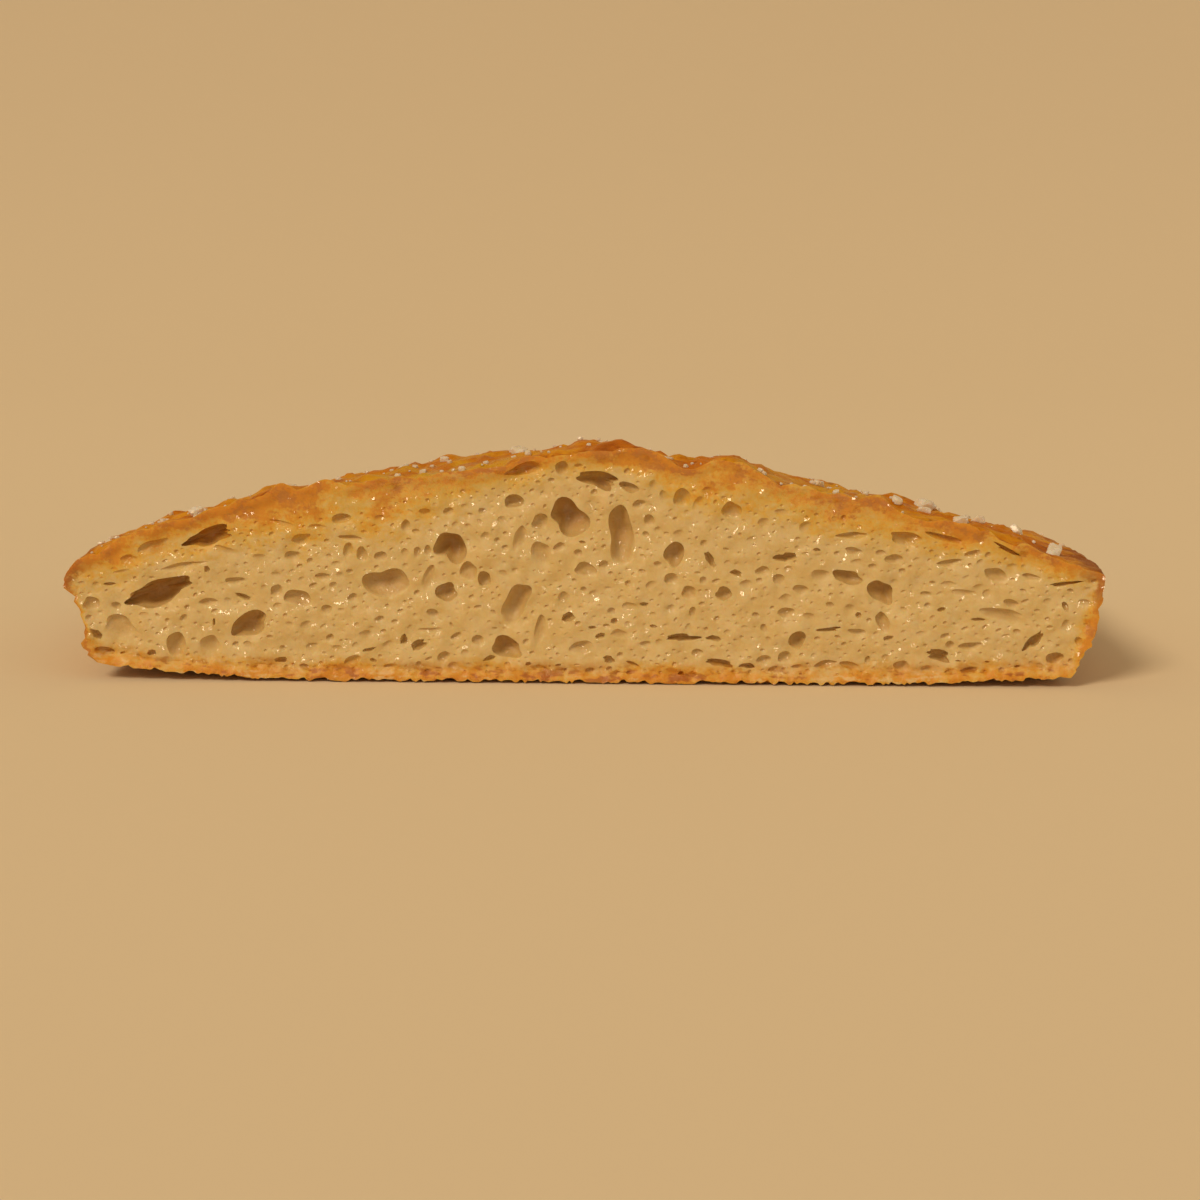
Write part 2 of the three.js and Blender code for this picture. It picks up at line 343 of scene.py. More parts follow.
@dataclass
class Sheet:
    """A flat sheet inside a closed outline, opened by bubbles.

    The sheet is triangulated between its outline, the bubbles' rims and a field of even points, and
    each rim is closed behind by its bowl. The outline's points come first in the result, in order.
    """

    outline: Array
    bubbles: list[Bubble]
    step: float  # between the even points
    rim_step: float = 0.36  # between the points of a bubble's rim

    def even_points(self) -> Array:
        """Points in staggered rows, clear of the outline and of every rim."""
        low, high = self.outline.min(0), self.outline.max(0)
        rows = np.arange(low[1], high[1], self.step * math.sqrt(3) / 2)
        across = np.arange(low[0], high[0], self.step)
        x = across[None] + np.where(np.arange(len(rows)) % 2, 0.5, 0.0)[:, None] * self.step
        points = np.column_stack([x.ravel(), np.repeat(rows, len(across))])
        points = points[inside(self.outline, points)]
        return points[nearest_distance(points, self.outline) > 0.55 * self.step]

    def cut(self) -> SheetMesh:
        """Triangulates the sheet and closes its bubbles with bowls."""
        sizes = [bubble.spokes(self.rim_step) for bubble in self.bubbles]
        rims = [bubble.rim(spokes) for bubble, spokes in zip(self.bubbles, sizes, strict=True)]
        field_points = self.even_points()
        for bubble in self.bubbles:
            field_points = field_points[~bubble.holds(field_points, 0.3 * self.step)]
        loops = [self.outline, *rims]
        starts = np.cumsum([0] + [len(loop) for loop in loops])
        places = np.vstack([*loops, field_points])
        triangles = self.fill(places, loops, starts)
        flat, count = np.zeros(len(places)), len(places)
        parts, depths, hollows, faces = [places], [flat], [flat], [triangles]
        for bubble, spokes, start in zip(self.bubbles, sizes, starts[1:], strict=False):
            rings = int(np.clip(round(spokes / SPOKES_PER_RING), 1, MOST_RINGS))
            where, deep, share = bubble.bowl(spokes, rings)
            parts.append(where)
            depths.append(deep)
            hollows.append(share)
            faces.append(bowl_triangles(start, count, spokes, rings))
            count += len(where)
        return SheetMesh(np.vstack(parts), np.concatenate(depths), np.concatenate(hollows), np.vstack(faces))

    def fill(self, places: Array, loops: list[Array], starts: Array) -> Array:
        """Triangles between the loops, leaving out those outside the outline or across a bubble.

        Args:
            places: Every point, loop by loop and then the even points.
            loops: The outline, then each rim.
            starts: Where each loop starts among the points.

        Returns:
            Triangles, anticlockwise, as (n, 3).
        """
        edges = []
        for loop, start in zip(loops, starts, strict=False):
            around = np.arange(len(loop))
            edges.append(np.column_stack([start + around, start + (around + 1) % len(loop)]))
        found = delaunay_2d_cdt(
            [Vector(p) for p in places.tolist()], np.vstack(edges).tolist(), [], 0, 1e-9
        )
        back = np.array([first[0] if first else -1 for first in found[3]])
        triangles = back[np.array(found[2])]
        if (back < 0).any():
            raise ValueError("two rims of a sheet cross")
        corners = places[triangles]
        along, across = corners[:, 1] - corners[:, 0], corners[:, 2] - corners[:, 0]
        clockwise = along[:, 0] * across[:, 1] - along[:, 1] * across[:, 0] < 0
        triangles[clockwise] = triangles[clockwise][:, ::-1]
        owner = np.full(len(places), -1)
        for k, (loop, start) in enumerate(zip(loops, starts, strict=False)):
            owner[start : start + len(loop)] = k
        owners = owner[triangles]
        alone = (owners[:, 0] >= 0) & (owners[:, 0] == owners[:, 1]) & (owners[:, 1] == owners[:, 2])
        keep = np.ones(len(triangles), bool)
        centres = corners.mean(1)
        for k, loop in enumerate(loops):
            own = np.flatnonzero(alone & (owners[:, 0] == k))
            within = inside(loop, centres[own])
            keep[own[within if k else ~within]] = False
        return triangles[keep]


def bowl_triangles(rim: int, first: int, spokes: int, rings: int) -> Array:
    """Triangles of a bowl, from the rim inwards, with a fan over its floor.

    Args:
        rim: Index of the rim's first point.
        first: Index of the bowl's first own point.
        spokes: Points round each ring.
        rings: Rings between the rim and the floor.

    Returns:
        Triangles facing out of the bowl, as (n, 3).
    """
    around = np.arange(spokes)
    following = (around + 1) % spokes
    starts = [rim] + [first + k * spokes for k in range(rings)]
    faces = []
    for outer, inner in zip(starts, starts[1:], strict=False):
        faces.append(np.column_stack([outer + around, outer + following, inner + following]))
        faces.append(np.column_stack([outer + around, inner + following, inner + around]))
    floor = np.full(spokes, first + rings * spokes)
    faces.append(np.column_stack([starts[-1] + around, starts[-1] + following, floor]))
    return np.vstack(faces)


@dataclass
class BubbleField:
    """The bubbles of one sheet: the ones listed, and small ones strewn between them."""

    outline: Array
    margin: float  # least distance from a rim to the outline
    gap: float = 0.1  # least distance between two rims
    least: float = 0.3  # share of its size below which a bubble is given up
    shrink: float = 0.06  # how much smaller each trial is
    placed: list[Bubble] = field(default_factory=list)

    def settle(self, bubbles: Sequence[Bubble]) -> None:
        """Takes bubbles in, the largest first, each shrunk until it is clear of those before it."""
        border = self.outline
        for bubble in sorted(bubbles, key=lambda one: -one.wide * one.high):
            shrunk = 1.0
            while shrunk > self.least:
                trial = replace(bubble, shrunk=shrunk)
                rim = trial.rim(TRIAL_SPOKES)
                clear = inside(border, rim).all() and nearest_distance(rim, border).min() > self.margin
                if clear and not self.crosses(trial, rim):
                    self.placed.append(trial)
                    break
                shrunk -= self.shrink

    def crosses(self, trial: Bubble, rim: Array) -> bool:
        """Whether a bubble comes within the gap of one that is already placed."""
        for other in self.placed:
            apart = math.hypot(other.u - trial.u, other.v - trial.v)
            if apart > other.reach() + trial.reach() + self.gap:
                continue
            if other.holds(rim, self.gap).any() or trial.holds(other.rim(TRIAL_SPOKES), self.gap).any():
                return True
        return False

    def strew(
        self,
        tries: int,
        rng: np.random.Generator,
        make: Callable[[Array, int], Bubble],
        where: Callable[[Array], Array] | None = None,
    ) -> None:
        """Drops bubbles at random inside the outline and keeps those that fall clear of the rest.

        Args:
            tries: How many are dropped.
            rng: Where the random numbers come from.
            make: Makes a bubble at a place, given a seed.
            where: Tells which places take a bubble, if not all do.
        """
        low, high = self.outline.min(0), self.outline.max(0)
        spots = rng.uniform(low, high, (tries, 2))
        spots = spots[inside(self.outline, spots)]
        if where is not None:
            spots = spots[where(spots)]
        room = nearest_distance(spots, self.outline)
        rims = np.vstack([one.rim(one.spokes(0.3)) for one in self.placed]) if self.placed else None
        taken = np.zeros(len(spots), bool)
        for one in self.placed:
            taken |= one.holds(spots, self.gap)
        if rims is not None:
            room = np.minimum(room - self.margin, nearest_distance(spots, rims) - self.gap)
        strewn = np.zeros((0, 3))
        for k in np.flatnonzero(~taken):
            bubble = make(spots[k], int(k))
            reach = bubble.reach()
            apart = np.hypot(strewn[:, 0] - bubble.u, strewn[:, 1] - bubble.v)
            if reach < room[k] and (apart > strewn[:, 2] + reach + self.gap).all():
                self.placed.append(bubble)
                strewn = np.vstack([strewn, [bubble.u, bubble.v, reach]])


# --- Form of the loaf -------------------------------------------------------------------------------


@dataclass(frozen=True)
class Hollow:
    """A shallow press in the top crust: a bell of this depth and reach."""

    x: float
    behind: float
    across: float
    along: float
    deep: float
    oily: float = 0.0


@dataclass(frozen=True)
class LoafForm:
    """The half loaf's large form: a rounded plan, a flared wall and a dome highest at the cut."""

    length: float = 120.0
    depth: float = 47.0
    corner: float = 13.0
    back_rim: float = 10.8
    flare: float = 3.1
    flare_curve: float = 1.7
    lift_left: float = 2.2
    lift_right: float = 1.4
    base_flat: float = 0.45
    dome_fall: float = 1.8
    corner_drop: float = 1.6
    lip_left: float = 2.7  # rounding of the rim where it meets the cut, at each end
    lip_right: float = 0.5
    lip_back: float = 3.4  # and along the back
    crown_line: tuple[tuple[float, float], ...] = (
        (-60, 13.9), (-55.3, 15.4), (-50, 17.6), (-44, 19.4), (-36, 21.6), (-28, 23.3), (-20, 25.0),
        (-8, 26.6), (3, 27.0), (12, 26.0), (18, 25.7), (25, 24.0), (33, 21.5), (41, 19.2), (49, 17.0),
        (56, 14.6), (60, 13.6),
    )
    bake_line: tuple[tuple[float, float], ...] = (
        (-60, 2.2), (-53, 3.6), (-45, 3.9), (-38, 3.6), (-31, 4.6), (-24, 5.4), (-17, 5.2), (-10, 4.4),
        (-4, 2.4), (4, 2.0), (10, 3.0), (17, 4.6), (24, 4.6), (31, 3.6), (40, 2.9), (50, 2.3),
        (60, 1.9),
    )
    wall_bake: float = 1.5
    base_bake: float = 1.7
    hollows: tuple[Hollow, ...] = (
        Hollow(-17, 3, 9, 7, 1.5, 1.0),
        Hollow(26, 3, 8, 6, 1.2, 1.0),
        Hollow(-38, 22, 7, 6, 0.9, 0.3),
        Hollow(-6, 25, 9, 6, 1.3, 0.8),
        Hollow(18, 21, 8, 6, 1.0, 0.7),
        Hollow(43, 19, 7, 6, 0.8, 0.2),
    )

    @property
    def half(self) -> float:
        """Half the length."""
        return self.length / 2

    def inward(self, plan: Array) -> tuple[Array, Array]:
        """How far inside the rounded plan each point is, and the outward direction there.

        Args:
            plan: Points as (x, behind), (n, 2).

        Returns:
            The distance to the plan's outline, and unit directions (n, 2).
        """
        side = np.where(plan[:, 0] < 0, -1.0, 1.0)
        qx = np.abs(plan[:, 0]) - (self.half - self.corner)
        qy = plan[:, 1] - (self.depth - self.corner)
        ox, oy = np.maximum(qx, 0), np.maximum(qy, 0)
        out = np.hypot(ox, oy)
        distance = self.corner - out - np.minimum(np.maximum(qx, qy), 0)
        flat_x, flat_y = (qx >= qy) * 1.0, (qx < qy) * 1.0
        nx = np.where(out > 0, ox / np.maximum(out, 1e-9), flat_x)
        ny = np.where(out > 0, oy / np.maximum(out, 1e-9), flat_y)
        return distance, np.column_stack([nx * side, ny])

    def rim_length(self) -> float:
        """Length of the rim, from the cut round the back to the cut again."""
        straight = 2 * (self.depth - self.corner) + 2 * (self.half - self.corner)
        return straight + math.pi * self.corner

    def rim(self, s: Array) -> tuple[Array, Array]:
        """The rim's plan: up the left end, round a corner, along the back, round, and down the right.

        Args:
            s: Distance along the rim from its left end.

        Returns:
            Plan points (n, 2) and outward directions (n, 2).
        """
        side, back, arc = self.depth - self.corner, 2 * (self.half - self.corner), math.pi * self.corner / 2
        marks = np.cumsum([0, side, arc, back, arc, side])
        turn = np.clip((s - marks[1]) / arc, 0, 1) + np.clip((s - marks[3]) / arc, 0, 1)
        angle = math.pi - turn * math.pi / 2
        out = np.column_stack([np.cos(angle), np.sin(angle)])
        up = np.clip(s, 0, side) - np.clip(s - marks[4], 0, side)
        over = np.clip(s - marks[2], 0, back)
        centre_x = -(self.half - self.corner) + over
        return np.column_stack([centre_x, up]) + out * self.corner, out

    def crown(self, x: Array) -> Array:
        """Height of the cut face at x."""
        return smooth_line(self.crown_line, x)

    def baked_share(self, spots: Array) -> Array:
        """How far a place on the cut face is through the baked band: 0 at the crust, 1 where it ends.

        Args:
            spots: Places as (x, z), (n, 2).

        Returns:
            The least share of the three bands, under the top crust, inside the walls and over the base.
        """
        x, z = spots[:, 0], spots[:, 1]
        low = self.base(x)
        under = (self.crown(x) - z) / smooth_line(self.bake_line, x)
        over = (z - low) / self.base_bake
        up = np.clip((z - low) / (self.back_rim - low), 0, 1)
        inset = self.flare * (1 - up) ** self.flare_curve
        inner = (self.half - inset - np.abs(x)) / self.wall_bake
        return np.minimum(np.minimum(under, over), inner)

    def scorched(self, places: Array) -> Array:
        """How scorched a place is: the two corners of the crust at the cut, where it is thinnest."""
        end = ramp(np.abs(places[:, 0]), self.half - 5, self.half - 1)
        high = np.exp(-(((places[:, 2] - self.back_rim - 1.2) / 2.4) ** 2))
        return end * high * (1 - ramp(places[:, 1], 4, 18))

    def pressed(self, plan: Array, oily: bool = False) -> Array:
        """Depth of the hollows at plan points, or how much oil lies in them."""
        total = np.zeros(len(plan))
        for hollow in self.hollows:
            u = (plan[:, 0] - hollow.x) / hollow.across
            v = (plan[:, 1] - hollow.behind) / hollow.along
            total += (hollow.oily if oily else hollow.deep) * np.exp(-u * u - v * v)
        return total

    def top(self, plan: Array) -> Array:
        """Height of the smooth top crust: the crown line falling to the rim as a dome, less hollows."""
        a = np.abs(plan[:, 0]) / self.half
        b = np.clip(plan[:, 1] / self.depth, 0, 1)
        domed = self.back_rim + (self.crown(plan[:, 0]) - self.back_rim) * (1 - b**self.dome_fall)
        pressed = self.pressed(plan) * (1 - np.maximum(a, b) ** 6)
        return domed - pressed - self.corner_drop * a**3 * b * b

    def base(self, x: Array) -> Array:
        """Height of the base, flat but for a curl up at each end."""
        lift = np.where(x < 0, self.lift_left, self.lift_right)
        t = np.maximum(np.abs(x) / self.half - self.base_flat, 0) / (1 - self.base_flat)
        return lift * t * t

    def centred(self, points: Array) -> Array:
        """Points counted from the cut, counted from midway between the cut and the back instead."""
        return points - np.array([0.0, self.depth / 2, 0.0])

    def lip(self, plan: Array) -> Array:
        """Radius of the rounding between crust and wall, tight at the cut and broad at the back."""
        at_cut = np.where(plan[:, 0] < 0, self.lip_left, self.lip_right)
        return at_cut + (self.lip_back - at_cut) * ramp(plan[:, 1], 2, 26)


@dataclass(frozen=True)
class CrustRelief:
    """The crust's own unevenness over the large form."""

    form: LoafForm
    knobs: tuple[tuple[float, float, float, float], ...] = (  # (x, behind, reach, height)
        (-51.0, 3.0, 2.6, 0.45), (-43.5, 2.0, 2.2, -0.35), (-35.5, 2.0, 2.8, 0.95),
        (-31.6, 0.8, 1.5, -0.7), (-14.0, 3.0, 3.4, 0.5), (-9.6, 1.0, 1.3, -0.35),
        (0.0, 1.0, 1.6, -0.55), (5.0, 4.0, 3.0, 0.4), (12.4, 1.0, 1.8, -0.75), (17.2, 2.0, 2.8, 0.9),
        (30.0, 1.0, 1.5, 0.4), (37.5, 1.0, 1.4, -0.35), (45.5, 2.0, 1.8, 0.4),
    )
    broad: tuple[Lumps, ...] = (Lumps(0.42, 13, 3), Lumps(0.3, 5.5, 4))
    fine: tuple[Lumps, ...] = (Lumps(0.17, (1.9, 1.2), 6), Lumps(0.1, (0.9, 0.7), 7))
    baked: tuple[Lumps, ...] = (
        Lumps(0.28, (4.5, 4.5, 3.0), 11),
        Lumps(0.2, (1.7, 1.7, 1.3), 12),
        Lumps(0.17, 0.8, 13),
    )
    torn: tuple[Lumps, ...] = (Lumps(0.2, (1.3, 1.3, 1.1), 18), Lumps(0.32, 0.55, 19))
    dragged: tuple[Lumps, ...] = (Lumps(0.14, 1.6, 16), Lumps(0.08, 0.7, 17))

    def top(self, plan: Array) -> Array:
        """Swells, knobs, blisters and fine puckers of the top crust, fading out towards the rim."""
        away = ramp(self.form.inward(plan)[0], 0.5, 9)
        broad = layered(self.broad, plan)
        for x, behind, reach, height in self.knobs:
            apart = (plan[:, 0] - x) ** 2 + (plan[:, 1] - behind) ** 2 / 2
            broad += height * np.exp(-apart / reach**2)
        blister = 1.3 * np.maximum(swell(plan, (4.2, 3.2), 5) - 0.38, 0)
        blister += 0.9 * np.maximum(swell(plan, (2.3, 1.9), 9) - 0.4, 0)
        pucker = -0.4 * (1 - np.abs(swell(plan, (3.4, 2.2), 8))) ** 6
        return away * (broad + blister) + pucker + layered(self.fine, plan)

    def wall(self, points: Array) -> Array:
        """How far the baked wall stands out from its smooth form, roughest at the ends of the cut."""
        end = ramp(np.abs(points[:, 0]), self.form.half - 8, self.form.half - 4)
        return layered(self.baked, points) + layered(self.torn, points) * end * (1 - ramp(points[:, 1], 1, 9))

    def ragged_base(self, points: Array) -> Array:
        """How far the torn lower edge is lifted, in small teeth."""
        coarse = np.abs(swell(points, 1.8, 14))
        return 0.28 * coarse**1.5 + 0.5 * np.abs(swell(points, 0.62, 15)) ** 1.2

    def cut_edge(self, points: Array) -> Array:
        """How far the cut's edge is dragged in or out by the knife."""
        return layered(self.dragged, points)


# --- The sewn skin ----------------------------------------------------------------------------------


class Part(Enum):
    """The loaf's two finishes, in the order of the mesh's material slots."""

    CRUST = 0
    CRUMB = 1


# The hollow mask is painted shade that deepens inside bubbles, pores and pits.
MASKS = ("skin", "hollow", "oil", "wall", "base", "scorch")


@dataclass
class SewnSkin:
    """Points and triangles gathered from sheets that share their edge points."""

    points: list[Array] = field(default_factory=list)
    masks: dict[str, list[Array]] = field(default_factory=lambda: {name: [] for name in MASKS})
    triangles: list[Array] = field(default_factory=list)
    parts: list[Array] = field(default_factory=list)
    count: int = 0

    def add_points(self, points: Array, **masks: Array | float) -> Array:
        """Adds points with their masks.

        Args:
            points: Places as (n, 3).
            **masks: A value or an array of values for any of the masks; the rest are 0.

        Returns:
            The new points' indices.
        """
        for name in MASKS:
            self.masks[name].append(np.broadcast_to(masks.get(name, 0.0), len(points)).astype(float))
        self.points.append(points)
        self.count += len(points)
        return np.arange(self.count - len(points), self.count)

    def add_triangles(self, triangles: Array, part: Part) -> None:
        """Adds triangles of one finish."""
        self.triangles.append(triangles)
        self.parts.append(np.full(len(triangles), part.value))

    def mesh(self, name: str) -> bpy.types.Mesh:
        """The whole skin as a mesh in metres, smooth but for its torn and cut edges."""
        places = np.vstack(self.points) * METRES
        faces = np.vstack(self.triangles)
        mesh = new_mesh(name, places, faces)
        mesh.polygons.foreach_set("material_index", np.concatenate(self.parts).astype(np.int32))
        for mask in MASKS:
            layer = mesh.attributes.new(mask, "FLOAT", "POINT")
            layer.data.foreach_set("value", np.concatenate(self.masks[mask]).astype(np.float32))
        mesh.set_sharp_from_angle(angle=TORN_CREASE)
        mesh.update()
        return mesh


def new_mesh(name: str, places: Array, triangles: Array) -> bpy.types.Mesh:
    """A mesh from arrays of places in metres and of triangles."""
    mesh = bpy.data.meshes.new(name)
    mesh.vertices.add(len(places))
    mesh.vertices.foreach_set("co", places.astype(np.float32).ravel())
    mesh.loops.add(triangles.size)
    mesh.loops.foreach_set("vertex_index", triangles.astype(np.int32).ravel())
    mesh.polygons.add(len(triangles))
    mesh.polygons.foreach_set("loop_start", np.arange(0, triangles.size, 3, dtype=np.int32))
    mesh.polygons.foreach_set("use_smooth", np.ones(len(triangles), bool))
    mesh.validate()
    mesh.update(calc_edges=True)
    return mesh


def new_piece(name: str, mesh: bpy.types.Mesh, *finishes: bpy.types.Material) -> bpy.types.Object:
    """An object at the origin that shows a mesh in its finishes."""
    piece = bpy.data.objects.new(name, mesh)
    bpy.context.scene.collection.objects.link(piece)
    for finish in finishes:
        mesh.materials.append(finish)
    return piece


# --- Bubbles of the cut face ------------------------------------------------------------------------

D, R, P, T = Cavity.DISH, Cavity.ROUND, Cavity.DEEP, Cavity.TORN

# Where the knife opened the larger bubbles: (x, z, wide, high, kind, tilt), from left to right.
LEFT_BUBBLES = (
    (-49.0, 10.4, 9.0, 2.4, T, 15), (-42.9, 17.0, 6.4, 1.7, T, 16), (-49.2, 15.7, 3.9, 1.8, D, 20),
    (-52.3, 14.2, 2.2, 1.2, D, 10), (-56.8, 9.0, 2.4, 1.9, R, -20), (-53.6, 6.2, 4.1, 2.5, D, -22),
    (-47.1, 4.2, 2.4, 2.9, R, 8), (-38.5, 6.7, 5.0, 2.5, P, 25), (-43.2, 4.1, 2.3, 2.6, D, -20),
    (-56.4, 5.4, 1.5, 1.0, T, -35), (-55.6, 3.3, 2.2, 1.2, R, -10), (-39.1, 9.9, 1.6, 0.8, T, -25),
    (-41.0, 15.4, 3.7, 1.3, D, -14), (-40.0, 11.8, 2.5, 0.9, R, 0), (-43.2, 9.3, 2.4, 0.9, R, 0),
    (-46.0, 13.5, 5.6, 0.8, D, 9), (-43.2, 13.2, 0.8, 0.8, T, 30), (-49.7, 12.1, 1.3, 0.6, R, 0),
    (-54.7, 11.3, 1.4, 0.5, T, 0), (-53.2, 12.8, 2.2, 0.5, D, 10), (-57.2, 7.4, 0.8, 0.7, R, 0),
    (-42.6, 6.9, 0.4, 1.0, T, 0), (-46.1, 7.4, 1.2, 0.8, R, 35), (-50.8, 7.7, 1.3, 0.7, D, 0),
    (-40.2, 4.2, 0.9, 0.8, R, 0), (-36.1, 5.2, 0.9, 0.6, R, 0), (-35.2, 10.7, 1.7, 1.3, R, 25),
    (-37.1, 14.6, 1.6, 1.0, D, 0), (-32.2, 16.8, 2.6, 1.2, R, 15), (-27.5, 19.2, 2.1, 1.4, R, 0),
    (-26.5, 17.0, 2.6, 0.7, R, -4), (-33.3, 14.8, 2.0, 1.1, R, 0), (-30.2, 18.2, 2.4, 0.7, D, -8),
    (-34.2, 18.6, 3.0, 0.6, D, -12), (-20.1, 18.4, 1.1, 1.5, R, 0), (-23.0, 19.3, 1.6, 0.7, D, 0),
    (-29.8, 12.4, 1.8, 0.9, R, 0), (-32.7, 9.8, 3.1, 2.2, R, -10), (-30.9, 11.3, 1.2, 0.7, R, 20),
    (-28.6, 11.4, 1.1, 0.8, R, 10), (-35.2, 12.6, 1.4, 0.7, D, 0), (-26.8, 15.5, 1.2, 1.9, R, -8),
    (-25.2, 15.0, 1.3, 2.0, R, 0), (-23.0, 14.8, 1.6, 1.3, R, 0), (-20.2, 15.2, 1.1, 1.2, D, 0),
    (-18.8, 15.3, 0.9, 1.4, R, 0), (-17.6, 15.5, 0.9, 1.4, R, -8), (-28.2, 13.9, 1.2, 0.8, D, 0),
    (-22.4, 11.6, 5.2, 3.7, R, 0), (-31.8, 6.6, 1.6, 1.1, D, 15), (-26.4, 9.9, 1.4, 1.0, R, 20),
    (-27.7, 8.4, 1.0, 0.7, D, 0), (-31.2, 3.9, 1.8, 1.2, D, 10), (-29.1, 5.1, 1.1, 1.0, R, 0),
    (-28.3, 3.9, 1.4, 0.8, D, 0), (-26.5, 2.5, 2.2, 1.1, R, 10), (-24.6, 3.8, 1.6, 0.5, T, 18),
    (-24.9, 5.5, 1.7, 1.2, D, -15), (-22.4, 4.4, 1.4, 0.9, D, 25),
)

MIDDLE_BUBBLES = (
    (-14.9, 15.9, 3.5, 3.8, P, -18), (-17.6, 12.1, 1.4, 3.5, D, -20), (-15.5, 10.6, 2.6, 2.2, P, 15),
    (-12.9, 13.1, 2.0, 2.4, R, -30), (-11.1, 12.2, 2.1, 2.2, P, 20), (-7.5, 9.3, 2.9, 5.0, R, -28),
    (-20.5, 5.0, 1.0, 1.2, T, -25), (-18.8, 4.4, 2.0, 1.1, T, 30), (-17.4, 6.1, 3.0, 0.7, D, 4),
    (-14.4, 5.4, 1.5, 0.9, R, 25), (-11.9, 5.0, 1.5, 1.3, R, 20), (-8.6, 4.1, 3.9, 2.3, P, -10),
    (-15.9, 3.0, 1.7, 1.2, R, 25), (-13.4, 3.4, 1.2, 1.0, D, 0), (-10.6, 2.8, 1.4, 0.7, T, 12),
    (-17.6, 2.8, 1.0, 0.5, R, 20), (-12.9, 18.4, 0.9, 0.8, D, 0), (-10.9, 17.2, 1.3, 1.2, D, 0),
    (-7.6, 21.3, 2.4, 1.6, P, 14), (-6.4, 25.1, 4.6, 1.3, R, 18), (-2.1, 25.2, 1.7, 1.7, R, 0),
    (-3.3, 23.8, 0.9, 0.7, R, 0), (-0.2, 25.5, 1.0, 0.6, R, 0), (2.0, 23.9, 5.2, 1.7, T, -14),
    (5.6, 23.0, 2.2, 1.3, P, -20), (-1.2, 19.4, 4.7, 3.8, P, -12), (-4.6, 18.9, 2.1, 1.9, R, 20),
    (-7.0, 16.9, 1.4, 3.4, D, -12), (-4.5, 15.2, 2.6, 2.8, D, 0), (0.6, 13.4, 2.8, 1.6, R, 0),
    (0.2, 16.6, 0.8, 0.4, T, 0), (4.7, 17.3, 3.2, 6.6, R, 4), (7.9, 19.2, 1.4, 1.4, R, -20),
    (8.9, 18.1, 1.0, 0.8, D, 0), (9.6, 22.0, 1.0, 1.6, D, 15), (11.6, 21.9, 2.0, 2.2, R, 0),
    (10.8, 15.3, 2.2, 3.2, P, -12), (14.9, 14.7, 2.1, 0.9, T, -55), (13.4, 21.2, 1.0, 2.0, D, -25),
    (17.3, 20.4, 2.2, 2.2, R, -15), (17.9, 13.1, 1.6, 0.7, T, -20), (12.5, 10.8, 1.9, 1.5, R, 0),
    (16.5, 10.7, 2.1, 1.6, P, -25), (14.1, 12.3, 0.9, 1.0, R, 0), (14.0, 9.5, 0.9, 0.6, R, 0),
    (12.9, 8.5, 0.9, 1.4, R, -10), (10.4, 8.9, 1.1, 1.0, D, 0), (5.7, 9.1, 1.8, 1.2, D, 5),
    (7.3, 9.4, 1.2, 0.5, T, -12), (1.5, 10.6, 1.1, 0.9, D, 25), (-1.9, 9.9, 1.5, 1.8, D, 0),
    (-1.4, 7.8, 1.5, 1.2, T, 0), (-3.5, 7.4, 0.7, 0.5, R, 0), (-4.7, 6.1, 1.3, 4.0, D, -6),
    (0.6, 8.2, 0.7, 0.5, R, 0), (3.0, 6.8, 0.9, 0.6, R, 0), (1.3, 6.6, 0.9, 0.5, T, 0),
    (3.9, 7.4, 0.8, 0.9, T, 0), (2.3, 5.6, 1.3, 0.7, T, 0), (4.5, 5.8, 2.0, 1.3, D, 0),
    (0.2, 4.1, 2.9, 2.0, D, 0), (3.3, 2.8, 1.5, 0.9, T, 0), (7.5, 4.7, 1.4, 0.8, R, 0),
    (8.4, 6.8, 0.9, 0.5, T, 0), (11.8, 5.5, 3.6, 0.9, T, 2), (15.4, 5.4, 1.8, 0.7, T, 4),
    (16.1, 2.5, 3.1, 0.9, T, -6), (19.3, 2.2, 1.7, 0.8, T, 0),
)

